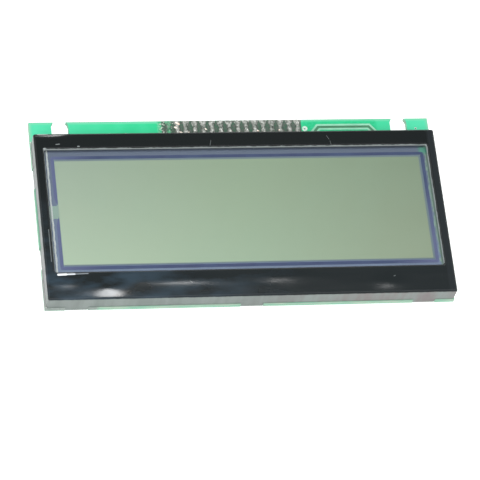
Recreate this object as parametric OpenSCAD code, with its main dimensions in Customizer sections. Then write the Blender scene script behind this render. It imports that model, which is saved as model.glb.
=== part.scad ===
// Reflective character LCD module: a stamped bezel clamps a glass cell and its
// two elastomer contact strips onto a circuit board with bonded driver chips.
// The module lies flat on its chip domes. +Z is the way the display faces,
// X runs along the display and +Y points to the edge that carries the solder pads.
// The origin is under the middle of the board, on the plane the domes rest on.

/* [Board] */
// Length of the circuit board
board_w = 118; // [112:0.5:130]
// Depth of the circuit board
board_d = 59.2; // [57:0.2:66]
// Thickness of the laminate
board_t = 1.6; // [1:0.1:2]
// Thickness of the copper pads and tracks
copper_t = 0.05; // [0.03:0.01:0.1]

/* [Mounting notches] */
// Distance between the two notches in the upper edge
notch_spacing = 100; // [94:0.5:102]
// Width of a notch
notch_w = 5; // [4.2:0.1:6]
// How far a notch reaches in from the edge
notch_depth = 6.1; // [5.5:0.1:6.8]
// Width of a notch's mouth, where its round end breaks through the edge
notch_mouth = 3.6; // [2.5:0.1:4]

/* [Bezel] */
// Strip of board that shows outside the bezel's left wall
left_margin = 0.3; // [0.3:0.05:1.5]
// Strip of board that shows outside the bezel's right wall
right_margin = 0.15; // [0.15:0.05:1.5]
// Strip of board below the bezel's lower wall
lower_margin = 0.15; // [0:0.05:0.3]
// Strip of board above the bezel, which carries the solder row
upper_margin = 6.4; // [6.3:0.05:9]
// Height of the bezel's face above the board
bezel_h = 5; // [4.6:0.1:7]
// Thickness of the bezel's sheet
sheet_t = 0.5; // [0.4:0.05:0.6]
// Outer radius of the bends around the face
bend_r = 0.6; // [0.5:0.05:1]

/* [Window] */
// Width of the bezel's face beside each end of the window
side_border = 2.85; // [2.5:0.05:4]
// Width of the bezel's face above the window
upper_border = 5.18; // [4.35:0.01:6]
// Width of the bezel's face below the window
lower_border = 8.75; // [7:0.01:10]
// Radius of the window's corners
window_r = 0.4; // [0.3:0.05:1]
// Depth and radius of the rolled edge around the window
lip_r = 0.6; // [0.55:0.05:0.7]

/* [Lugs] */
// Width of a folded lug
lug_w = 6.4; // [4:0.1:7]
// Length of a lug's foot under the board
foot_l = 1.8; // [1.2:0.1:2.4]
// Play between a lug and its slot in the board
lug_gap = 0.1; // [0.05:0.05:0.2]
// Distance from the bezel's end to the middle of the lower wall's outer lugs
lug_inset = 8.75; // [5:0.05:20]
// Distance between the two lugs of the upper wall
upper_lug_spacing = 66; // [50:1:76]
// Distance between the two lugs of each end wall
end_lug_spacing = 25.4; // [16:0.2:30]

/* [Glass cell] */
// Thickness of each polarizer
polarizer_t = 0.2; // [0.15:0.05:0.3]
// Thickness of each glass
glass_t = 0.7; // [0.55:0.05:0.9]
// Thickness of the liquid crystal layer
cell_gap = 0.1; // [0.06:0.01:0.15]
// Thickness of the reflector film
reflector_t = 0.1; // [0.08:0.01:0.2]
// Play between the front glass and the bezel's walls
glass_play = 0.35; // [0.3:0.05:0.5]
// How far the seal sits to the right of the bezel's middle
seal_shift = 0.3; // [0:0.05:0.3]
// Distance from the window's ends to the seal's middle line
seal_side_inset = 1.65; // [1.5:0.05:3]
// Distance from the window's upper and lower edges to the seal's middle line
seal_edge_inset = 2.025; // [1.9:0.025:3]
// Width of the seal
seal_line = 0.8; // [0.6:0.05:1]
// Height of the filling gap in the seal's left side
fill_gap = 4; // [3:0.1:6]
// Margin of rear glass outside the window
rear_margin = 1.1; // [0.9:0.05:1.2]
// Margin of front glass outside each end of the rear glass
rear_inset = 0.3; // [0:0.05:1]

/* [Contact strips] */
// Width of the lower contact strip
lower_strip_w = 2.4; // [2:0.1:2.6]
// Width of the upper contact strip
upper_strip_w = 2; // [1.6:0.1:2.1]
// Distance from the window's ends to the ends of the contact strips
strip_inset = 0.9; // [0.5:0.1:4]
// Gap between the rear glass and each strip
strip_gap = 0.3; // [0.2:0.05:0.35]
// Distance from finger to finger on the board
finger_pitch = 1.27; // [1:0.01:2.54]
// Width of a contact finger
finger_w = 0.7; // [0.5:0.05:0.9]

/* [Spacer] */
// Width of the spacer's rails
rail_w = 3; // [2:0.1:5]
// Width of the spacer's cross bars
bar_w = 2.4; // [1.5:0.1:4]

/* [Solder row] */
// Number of solder pads
pad_count = 16; // [8:1:16]
// Distance from pad to pad
pad_pitch = 2.54; // [2:0.01:2.54]
// How far the row sits to the right of the board's middle
row_shift = 0.75; // [0:0.05:1]
// Distance from the board's edge to the row of holes
row_inset = 2.6; // [2.2:0.1:3]
// Hole radius
hole_r = 0.5; // [0.4:0.05:0.6]
// Width of a front pad at the board's edge
pad_w = 1.9; // [1.7:0.05:1.95]
// Width of a front pad at its inner end
pad_tip_w = 1.5; // [1.3:0.05:1.7]
// Length of a front pad
pad_l = 4.4; // [4:0.1:5]
// Height of a solder joint above the front of the board
joint_h = 1.1; // [0.8:0.05:1.3]
// Height of a solder joint below the back of the board
joint_tail = 0.6; // [0.4:0.05:0.9]

/* [Front tracks] */
// Width of a front track
front_track_w = 0.5; // [0.4:0.05:0.6]
// Length of the outer loop's top run
loop_w = 15.7; // [12:0.1:16]
// Distance from the ring via to the outer loop
loop_start = 1.35; // [1.1:0.05:2]
// Distance from the board's edge to the outer loop
loop_inset = 1.9; // [1.2:0.1:2]
// Distance from the outer loop to the inner one
loop_gap = 1.35; // [1:0.05:1.8]

/* [Chips] */
// Height of the chip domes
dome_h = 1.8; // [1.4:0.1:2.2]
// Radius of the controller's dome
controller_r = 9; // [7:0.1:10]
// Radius of each driver's dome
driver_r = 7.5; // [6:0.1:8.5]
// Distance from the board's end to the middle of a driver's dome
driver_inset = 25; // [20:0.5:28]
// Length of a chip part
chip_l = 2; // [1.6:0.1:2.4]
// Width of a chip part
chip_w = 1.25; // [1:0.05:1.6]
// Height of a chip resistor
resistor_h = 0.5; // [0.4:0.05:0.7]
// Height of a chip capacitor
capacitor_h = 0.9; // [0.7:0.05:1.1]
// Width of a rear track
rear_track_w = 0.35; // [0.25:0.05:0.5]

/* [Hidden] */
$fn = 48;
// How far a cutting shape runs past the face it cuts
cut = 0.5;

// Heights, from the plane the domes rest on
back_z = dome_h;
front_z = back_z + board_t;
face_z = front_z + bezel_h;
under_z = face_z - sheet_t;
polarizer_z = face_z - lip_r - polarizer_t;
glass_z = polarizer_z - glass_t;
cell_z = glass_z - cell_gap;
rear_glass_z = cell_z - glass_t;
rear_polarizer_z = rear_glass_z - polarizer_t;
reflector_z = rear_polarizer_z - reflector_t;

// Bezel
bezel_w = board_w - left_margin - right_margin;
bezel_d = board_d - lower_margin - upper_margin;
bezel_x = (left_margin - right_margin) / 2;
lower_wall_y = -board_d / 2 + lower_margin;
upper_wall_y = lower_wall_y + bezel_d;
bezel_y = (lower_wall_y + upper_wall_y) / 2;
inner_w = bezel_w - 2 * sheet_t;
inner_d = bezel_d - 2 * sheet_t;
inner_r = max(bend_r - sheet_t, 0.1);
lower_lug_x = bezel_w / 2 - lug_inset;

// Window
window_w = bezel_w - 2 * side_border;
window_d = bezel_d - lower_border - upper_border;
window_y = lower_wall_y + lower_border + window_d / 2;

// Glass cell
glass_w = inner_w - 2 * glass_play;
glass_d = inner_d - 2 * glass_play;
rear_w = glass_w - 2 * rear_inset;
rear_d = window_d + 2 * rear_margin;
rear_left = bezel_x - rear_w / 2;
seal_w = window_w - 2 * seal_side_inset;
seal_d = window_d - 2 * seal_edge_inset;
seal_x = bezel_x + seal_shift;
seal_left = seal_x - seal_w / 2 + seal_line / 2;
plug_l = 1.2;

// Contact strips and their fingers on the board
strip_l = window_w - 2 * strip_inset;
strip_h = glass_z - front_z - copper_t;
upper_strip_y = window_y + rear_d / 2 + strip_gap + upper_strip_w / 2;
lower_strip_y = window_y - rear_d / 2 - strip_gap - lower_strip_w / 2;
finger_count = floor((strip_l - finger_w) / finger_pitch) + 1;
finger_over = 0.2;

// Solder row and notches
row_y = board_d / 2 - row_inset;
row_end_x = row_shift + (pad_count - 1) / 2 * pad_pitch;
pad_edge = 0.1;
pad_in = board_d / 2 - pad_edge - pad_l;
notch_r = notch_w / 2;
notch_rise = sqrt(pow(notch_r, 2) - pow(notch_mouth / 2, 2));
notch_top_y = board_d / 2 - notch_rise;
notch_low_y = board_d / 2 - notch_depth + notch_r;
joint_base_r = 0.7;
joint_tip_r = 0.3;
rear_pad_w = 1.6;
rear_pad_l = 2.4;

// How far an edge lug's opening reaches out past its wall, clear of the board
edge_reach = 3;
// Clearance around the bare strips
strip_clear = 0.05;

// Chip domes and chip parts, as [x, y] on the back
controller_at = [0, -8];
driver_x = board_w / 2 - driver_inset;
driver_y = 5;
left_driver_at = [-driver_x, driver_y];
right_driver_at = [driver_x, driver_y];
resistor_count = 5;
resistor_pitch = 4;
first_resistor_at = [14, -20];
resistors_at = [for (i = [0:resistor_count - 1]) first_resistor_at + [resistor_pitch * i, 0]];
oscillator_at = [-17, -17];
capacitors_at = [[-24, 21], [-14, -22], [45, 16]];
terminal_l = 0.4;
chip_pad_l = 1.2;

// Vias: one in a ring beside the solder row, one at the right end, two at the left
via_hole_r = 0.2;
via_r = 0.35;
ring_via_r = 0.8;
ring_via_gap = 2.05;
ring_via_inset = 3.05;
end_via_inset = [3.9, 3.4];
link_via_insets = [[23.3, 4.2], [28, 4.2]];
upper_right = [board_w / 2, board_d / 2];
upper_left = [-board_w / 2, board_d / 2];
ring_via_at = [row_end_x + ring_via_gap, board_d / 2 - ring_via_inset];
small_vias_at = concat(
    [upper_right - end_via_inset],
    [for (v = link_via_insets) upper_left + [v.x, -v.y]]
);
vias_at = concat([ring_via_at], small_vias_at);

// Front tracks: two loops whose legs slant in towards their top runs
loop_slant = [2.4, 2.9];
loop_foot = loop_w / 2 + loop_slant.x;
loop_x = ring_via_at.x + loop_start + loop_foot;
loop_end_gap = 0.4;
loop_end_y = upper_wall_y + loop_end_gap;

// Rear tracks
fan_pitch = 0.9;
row_run = 10;
rear_bend_y = row_y - row_run;
driver_tracks = 8;
bus_pitch = 0.8;
bus_run = 1.5;
fan_run = 4;
fan_spread = 2.5;
track_play = 0.25;

function pad_x(i) = row_shift + (i - (pad_count - 1) / 2) * pad_pitch;

// Unit normal to the left of the way from a to b
function side(a, b) = let (d = (b - a) / norm(b - a)) [-d.y, d.x];

// Where a track of half-width h turns at b, on the left for a positive h
function corner(a, b, c, h) =
    let (m = side(a, b), n = side(b, c)) b + (m + n) * h / (1 + m * n);

function bank(p, h) = [
    for (i = [0:len(p) - 1])
        i == 0 ? p[0] + side(p[0], p[1]) * h
        : i == len(p) - 1 ? p[i] + side(p[i - 1], p[i]) * h
        : corner(p[i - 1], p[i], p[i + 1], h)
];

function reversed(p) = [for (i = [len(p) - 1:-1:0]) p[i]];

// A copper track along the points p, with mitred corners
module track(p, w) {
    linear_extrude(copper_t) polygon(concat(bank(p, w / 2), reversed(bank(p, -w / 2))));
}

module round_rect(w, d, r) {
    square([w - 2 * r, d], center = true);
    square([w, d - 2 * r], center = true);
    for (x = [-1, 1], y = [-1, 1])
        translate([x * (w / 2 - r), y * (d / 2 - r)]) circle(r);
}

// A slab whose upper edges and corners are rounded with the same radius
module soft_slab(w, d, h, r) {
    linear_extrude(h - r) round_rect(w, d, r);
    linear_extrude(h) square([w - 2 * r, d - 2 * r], center = true);
    translate([0, 0, h - r]) {
        for (y = [-1, 1])
            translate([0, y * (d / 2 - r), 0]) rotate([0, 90, 0]) cylinder(w - 2 * r, r = r, center = true);
        for (x = [-1, 1])
            translate([x * (w / 2 - r), 0, 0]) rotate([90, 0, 0]) cylinder(d - 2 * r, r = r, center = true);
        for (x = [-1, 1], y = [-1, 1])
            translate([x * (w / 2 - r), y * (d / 2 - r), 0]) sphere(r);
    }
}

// One straight side of the window's rolled edge: a quarter round, with its bend towards +Y
module rolled_side(l) {
    intersection() {
        rotate([0, 90, 0]) cylinder(l, r = lip_r, center = true);
        translate([-l / 2, 0, 0]) cube([l, lip_r, lip_r]);
    }
}

module rolled_corner() {
    rotate_extrude(angle = 90) translate([window_r, 0]) intersection() {
        translate([lip_r, 0]) circle(lip_r);
        square(lip_r);
    }
}

// The whole rolled edge, with its lower edge on z = 0
module rolled_edge() {
    for (s = [0, 1]) rotate(180 * s) {
        translate([0, -window_d / 2 - lip_r, 0]) rolled_side(window_w - 2 * window_r);
        translate([-window_w / 2 - lip_r, 0, 0]) rotate(-90) rolled_side(window_d - 2 * window_r);
        translate([window_w / 2 - window_r, window_d / 2 - window_r, 0]) rolled_corner();
        translate([-window_w / 2 + window_r, window_d / 2 - window_r, 0]) rotate(90) rolled_corner();
    }
}

// A folded lug that hangs from a wall whose outer face is y = 0, with its foot towards +Y
module lug() {
    drop = board_t + sheet_t;
    rotate([90, 0, 90]) linear_extrude(lug_w, center = true) {
        translate([0, bend_r - drop]) square([sheet_t, drop - bend_r + cut]);
        translate([bend_r, -drop]) square([foot_l - bend_r, sheet_t]);
        translate([bend_r, bend_r - drop]) intersection() {
            difference() {
                circle(bend_r);
                circle(bend_r - sheet_t);
            }
            translate([-bend_r, -bend_r]) square(bend_r);
        }
    }
}

module at_upper_lugs() {
    for (s = [-1, 1]) translate([s * upper_lug_spacing / 2, upper_wall_y]) rotate(180) children();
}

module at_edge_lugs() {
    for (x = [-lower_lug_x, 0, lower_lug_x]) translate([x, lower_wall_y]) children();
    for (s = [-1, 1], y = [-1, 1])
        translate([bezel_x + s * bezel_w / 2, window_y + y * end_lug_spacing / 2])
            rotate(90 * s) children();
}

// The opening a lug passes through, reaching out past its wall by `out`
module lug_opening(out) {
    translate([-lug_w / 2 - lug_gap, -out]) square([lug_w + 2 * lug_gap, out + bend_r + lug_gap]);
}

module notch() {
    for (y = [notch_low_y, notch_top_y]) translate([0, y]) circle(notch_r);
    translate([-notch_r, notch_low_y]) square([notch_w, notch_top_y - notch_low_y]);
}

// ---- The circuit board and its copper ----

module pcb() {
    color("mediumseagreen") translate([0, 0, back_z]) linear_extrude(board_t) difference() {
        square([board_w, board_d], center = true);
        for (s = [-1, 1]) translate([s * notch_spacing / 2, 0]) notch();
        for (i = [0:pad_count - 1]) translate([pad_x(i), row_y]) circle(hole_r);
        for (p = vias_at) translate(p) circle(via_hole_r);
        at_upper_lugs() lug_opening(lug_gap);
        at_edge_lugs() lug_opening(edge_reach);
    }
}

// A solder pad that narrows from the board's edge to a round end
module pad_outline() {
    tip = pad_tip_w / 2;
    polygon([
        [-pad_w / 2, board_d / 2 - pad_edge],
        [-tip, pad_in + tip],
        [tip, pad_in + tip],
        [pad_w / 2, board_d / 2 - pad_edge],
    ]);
    translate([0, pad_in + tip]) circle(tip);
}

module front_pads() {
    color("silver") translate([0, 0, front_z]) linear_extrude(copper_t)
        for (i = [0:pad_count - 1]) translate([pad_x(i), 0]) difference() {
            pad_outline();
            translate([0, row_y]) circle(hole_r);
        }
}

// Bare tinned strips outside the end walls, from each lug's opening to the bezel's corner
module ground_strips() {
    lug_edge = end_lug_spacing / 2 + lug_w / 2 + lug_gap + strip_clear;
    low = [lower_wall_y, window_y - lug_edge];
    high = [window_y + lug_edge, upper_wall_y];
    left = [-board_w / 2 + strip_clear, bezel_x - bezel_w / 2 - strip_clear];
    right = [bezel_x + bezel_w / 2 + strip_clear, board_w / 2 - strip_clear];
    color("lightgray") translate([0, 0, front_z]) linear_extrude(copper_t)
        for (x = [left, right], y = [low, high])
            translate([x[0], y[0]]) square([x[1] - x[0], y[1] - y[0]]);
}

// The outer loop, from under the bezel up, across and back down
outer_loop = let (y = board_d / 2 - loop_inset) [
    [loop_x - loop_foot, loop_end_y],
    [loop_x - loop_foot, y - loop_slant.y],
    [loop_x - loop_w / 2, y],
    [loop_x + loop_w / 2, y],
    [loop_x + loop_foot, y - loop_slant.y],
    [loop_x + loop_foot, loop_end_y],
];

module via_land(r) {
    difference() {
        cylinder(copper_t, r = r);
        translate([0, 0, -cut]) cylinder(copper_t + 2 * cut, r = via_hole_r);
    }
}

module front_tracks() {
    color("aquamarine") translate([0, 0, front_z]) {
        track(outer_loop, front_track_w);
        track(bank(outer_loop, -loop_gap), front_track_w);
        translate(ring_via_at) via_land(ring_via_r);
        for (p = small_vias_at) translate(p) via_land(via_r);
    }
}

module contact_fingers() {
    color("gold") translate([0, 0, front_z]) linear_extrude(copper_t)
        for (row = [[upper_strip_y, upper_strip_w], [lower_strip_y, lower_strip_w]])
            for (i = [0:finger_count - 1])
                translate([bezel_x + (i - (finger_count - 1) / 2) * finger_pitch, row[0]])
                    square([finger_w, row[1] + 2 * finger_over], center = true);
}

module rear_pads() {
    color("silver") translate([0, 0, back_z - copper_t]) linear_extrude(copper_t)
        for (i = [0:pad_count - 1]) translate([pad_x(i), row_y]) difference() {
            union() {
                square([rear_pad_w, rear_pad_l - rear_pad_w], center = true);
                for (s = [-1, 1]) translate([0, s * (rear_pad_l - rear_pad_w) / 2]) circle(rear_pad_w / 2);
            }
            circle(hole_r);
        }
}

// From a solder pad straight down, slanting in, and down to the controller's dome
function pad_route(i) = let (
    x = pad_x(i),
    x_in = controller_at.x + (i - (pad_count - 1) / 2) * fan_pitch,
    bend_y = rear_bend_y - abs(x - x_in)
) [
    [x, row_y - rear_pad_l / 2],
    [x, rear_bend_y],
    [x_in, bend_y],
    [x_in, controller_at.y + rim(controller_r, x_in - controller_at.x)],
];

// Height of a dome's rim above its middle, at a distance d to the side, with the tracks' end play
function rim(r, d) = sqrt(r * r - d * d) + track_play;

// From the controller's dome out to a driver's dome, s = -1 to the left, 1 to the right
function driver_route(i, s) = let (
    at = s < 0 ? left_driver_at : right_driver_at,
    step = (i - (driver_tracks - 1) / 2) * bus_pitch,
    y0 = controller_at.y + step,
    y1 = at.y + step
) [
    [controller_at.x + s * rim(controller_r, step), y0],
    [controller_at.x + s * (controller_r + bus_run), y0],
    [at.x - s * (driver_r + bus_run), y1],
    [at.x - s * rim(driver_r, step), y1],
];

// From a driver's dome out to the end of the board
function outer_route(i, s) = let (
    at = s < 0 ? left_driver_at : right_driver_at,
    step = (i - (driver_tracks - 1) / 2) * bus_pitch
) [
    [at.x + s * rim(driver_r, step), at.y + step],
    [at.x + s * (driver_r + bus_run), at.y + step],
    [at.x + s * (driver_r + bus_run + fan_run), at.y + fan_spread * step],
    [at.x + s * (driver_r + bus_run + fan_run + bus_run), at.y + fan_spread * step],
];

module rear_tracks() {
    color("seagreen") translate([0, 0, back_z - copper_t]) {
        for (i = [0:pad_count - 1]) track(pad_route(i), rear_track_w);
        for (s = [-1, 1], i = [0:driver_tracks - 1]) {
            track(driver_route(i, s), rear_track_w);
            track(outer_route(i, s), rear_track_w);
        }
    }
}

// Solder that fills each hole, with a cone on the front pad and a lower one on the back
module solder_joints() {
    color("gainsboro") for (i = [0:pad_count - 1]) translate([pad_x(i), row_y, 0]) {
        translate([0, 0, back_z - copper_t]) cylinder(board_t + 2 * copper_t, r = hole_r);
        translate([0, 0, front_z + copper_t]) joint(joint_h);
        translate([0, 0, back_z - copper_t]) mirror([0, 0, 1]) joint(joint_tail);
    }
}

module joint(h) {
    cylinder(h - joint_tip_r, r1 = joint_base_r, r2 = joint_tip_r);
    translate([0, 0, h - joint_tip_r]) sphere(joint_tip_r);
}

// ---- The bezel ----

module bezel() {
    color("dimgray") {
        difference() {
            translate([bezel_x, bezel_y, front_z]) soft_slab(bezel_w, bezel_d, bezel_h, bend_r);
            translate([bezel_x, bezel_y, front_z - cut])
                linear_extrude(bezel_h - sheet_t + cut) round_rect(inner_w, inner_d, inner_r);
            translate([bezel_x, window_y, under_z - cut]) linear_extrude(sheet_t + 2 * cut)
                round_rect(window_w + 2 * lip_r, window_d + 2 * lip_r, window_r + lip_r);
        }
        translate([bezel_x, window_y, face_z - lip_r]) rolled_edge();
        translate([0, 0, front_z]) {
            at_upper_lugs() lug();
            at_edge_lugs() lug();
        }
    }
}

// ---- The glass cell ----

module plate(w, d, z, t) {
    translate([bezel_x - w / 2, -d / 2, z]) cube([w, d, t]);
}

module front_polarizer() {
    color("darkseagreen", 0.4) translate([0, window_y, 0])
        plate(window_w + 2 * rear_margin, window_d + 2 * rear_margin, polarizer_z, polarizer_t);
}

module front_glass() {
    color("lightcyan", 0.4) translate([0, bezel_y, 0]) plate(glass_w, glass_d, glass_z, glass_t);
}

// The seal's rectangle, grown by g on every side
module seal_outline(g) {
    translate([seal_x, window_y]) square([seal_w + 2 * g, seal_d + 2 * g], center = true);
}

module seal_ring() {
    leg = seal_left - rear_left;
    color("slateblue") translate([0, 0, cell_z]) linear_extrude(cell_gap) {
        difference() {
            seal_outline(seal_line / 2);
            seal_outline(-seal_line / 2);
            translate([rear_left, window_y - fill_gap / 2]) square([leg + cut, fill_gap]);
        }
        for (y = [-fill_gap / 2 - seal_line, fill_gap / 2])
            translate([rear_left, window_y + y]) square([leg, seal_line]);
    }
}

module end_seal() {
    color("khaki") translate([rear_left, window_y - fill_gap / 2, cell_z]) cube([plug_l, fill_gap, cell_gap]);
}

module liquid_crystal() {
    color("darkseagreen") translate([0, 0, cell_z]) linear_extrude(cell_gap) {
        seal_outline(-seal_line / 2);
        translate([rear_left + plug_l, window_y - fill_gap / 2])
            square([seal_left - rear_left - plug_l, fill_gap]);
    }
}

module rear_glass() {
    color("lightcyan", 0.4) translate([0, window_y, 0]) plate(rear_w, rear_d, rear_glass_z, glass_t);
}

module rear_polarizer() {
    color("lightsteelblue") translate([0, window_y, 0]) plate(rear_w, rear_d, rear_polarizer_z, polarizer_t);
}

module reflector() {
    color("silver") translate([0, window_y, 0]) plate(rear_w, rear_d, reflector_z, reflector_t);
}

// A moulded frame with two cross bars that carries the cell above the board
module spacer_frame() {
    bay = (rear_w - 2 * rail_w - 2 * bar_w) / 3;
    color("white") difference() {
        translate([0, window_y, 0]) plate(rear_w, rear_d, front_z, reflector_z - front_z);
        for (i = [-1:1])
            translate([bezel_x + i * (bay + bar_w), window_y, front_z - cut])
                linear_extrude(bezel_h) square([bay, rear_d - 2 * rail_w], center = true);
    }
}

module contact_strip(y, w) {
    color("lightpink") translate([bezel_x - strip_l / 2, y - w / 2, front_z + copper_t])
        cube([strip_l, w, strip_h]);
}

module upper_contact_strip() {
    contact_strip(upper_strip_y, upper_strip_w);
}

module lower_contact_strip() {
    contact_strip(lower_strip_y, lower_strip_w);
}

// ---- Chips on the back ----

// A cap of a sphere with rim radius r that hangs dome_h below the board's back
module dome(at, r) {
    ball_r = (r * r + dome_h * dome_h) / (2 * dome_h);
    color("black") translate([at.x, at.y, 0]) intersection() {
        translate([0, 0, ball_r]) sphere(ball_r, $fn = 120);
        cylinder(dome_h, r = r + cut);
    }
}

module controller_dome() {
    dome(controller_at, controller_r);
}

module left_driver_dome() {
    dome(left_driver_at, driver_r);
}

module right_driver_dome() {
    dome(right_driver_at, driver_r);
}

// The body of a chip part that hangs from its pads at p, between its two terminals
module chip_body(p, h) {
    translate([p.x - chip_l / 2 + terminal_l, p.y - chip_w / 2, back_z - copper_t - h])
        cube([chip_l - 2 * terminal_l, chip_w, h]);
}

module chip_ends(p, h) {
    for (x = [-chip_l / 2, chip_l / 2 - terminal_l])
        translate([p.x + x, p.y - chip_w / 2, back_z - copper_t - h]) cube([terminal_l, chip_w, h]);
}

module bias_resistors() {
    color("black") for (p = resistors_at) chip_body(p, resistor_h);
}

module oscillator_resistor() {
    color("black") chip_body(oscillator_at, resistor_h);
}

module bypass_capacitors() {
    color("tan") for (p = capacitors_at) chip_body(p, capacitor_h);
}

module chip_terminals() {
    color("silver") {
        for (p = concat(resistors_at, [oscillator_at])) chip_ends(p, resistor_h);
        for (p = capacitors_at) chip_ends(p, capacitor_h);
    }
}

module chip_pads() {
    color("gainsboro") translate([0, 0, back_z - copper_t])
        for (p = concat(resistors_at, [oscillator_at], capacitors_at), s = [-1, 1])
            translate([p.x + s * chip_l / 2 - chip_pad_l / 2, p.y - chip_w / 2, 0])
                cube([chip_pad_l, chip_w, copper_t]);
}

pcb();
front_pads();
ground_strips();
front_tracks();
contact_fingers();
rear_pads();
rear_tracks();
solder_joints();
bezel();
front_polarizer();
front_glass();
seal_ring();
end_seal();
liquid_crystal();
rear_glass();
rear_polarizer();
reflector();
spacer_frame();
upper_contact_strip();
lower_contact_strip();
controller_dome();
left_driver_dome();
right_driver_dome();
bias_resistors();
oscillator_resistor();
bypass_capacitors();
chip_terminals();
chip_pads();
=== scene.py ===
"""Looks of a reflective character LCD module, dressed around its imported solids.

A stamped steel bezel, black on its face and bare on its walls, clamps a glass cell onto a
green circuit board. The board's upper edge carries sixteen soldered pads, two open notches and
two looped tracks. Its back carries three epoxy chip domes, chip resistors and capacitors.
All sizes are in metres in the row's frame: X along the display, Y towards the solder pads and
Z the way the display faces.
"""

import logging
import math
import random
from dataclasses import dataclass
from typing import Callable, Mapping, Sequence, Union

import bmesh
import bpy
from mathutils import Matrix, Vector, noise


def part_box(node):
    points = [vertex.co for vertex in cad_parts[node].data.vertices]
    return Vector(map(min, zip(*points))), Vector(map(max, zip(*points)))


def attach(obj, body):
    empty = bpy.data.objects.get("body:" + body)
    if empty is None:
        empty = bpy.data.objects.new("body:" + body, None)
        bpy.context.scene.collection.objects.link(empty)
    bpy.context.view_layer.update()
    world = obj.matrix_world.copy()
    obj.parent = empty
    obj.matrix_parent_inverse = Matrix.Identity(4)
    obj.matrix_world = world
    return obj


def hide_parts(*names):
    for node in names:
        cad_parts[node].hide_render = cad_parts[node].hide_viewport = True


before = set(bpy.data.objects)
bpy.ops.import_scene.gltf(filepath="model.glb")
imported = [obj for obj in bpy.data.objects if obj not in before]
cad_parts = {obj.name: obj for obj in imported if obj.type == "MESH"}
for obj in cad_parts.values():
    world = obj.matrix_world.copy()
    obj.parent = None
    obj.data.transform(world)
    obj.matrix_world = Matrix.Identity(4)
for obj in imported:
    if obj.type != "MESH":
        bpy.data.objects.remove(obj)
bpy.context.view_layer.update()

MM = 0.001
LOG = logging.getLogger("lcd_module")

Colour = tuple[float, float, float]
Point = tuple[float, float]
Material = bpy.types.Material
Mesh = bmesh.types.BMesh
Socket = bpy.types.NodeSocket


def mm(first: float, second: float) -> Point:
    """Two lengths in millimetres as metres."""
    return (first * MM, second * MM)


def paint(red: int, green: int, blue: int) -> Colour:
    """Linear colour of a display colour.

    Args:
        red: Red, from 0 to 255.
        green: Green, from 0 to 255.
        blue: Blue, from 0 to 255.

    Returns:
        The colour as a shader takes it.
    """
    def linear(value: int) -> float:
        """Light of one channel, from 0 to 1."""
        share = value / 255
        return share / 12.92 if share <= 0.04045 else ((share + 0.055) / 1.055) ** 2.4

    return (linear(red), linear(green), linear(blue))


def opaque(colour: Colour) -> tuple[float, float, float, float]:
    """The colour with an alpha of one, as colour sockets take it."""
    return (*colour, 1.0)


# ---- Finishes ----


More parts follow.
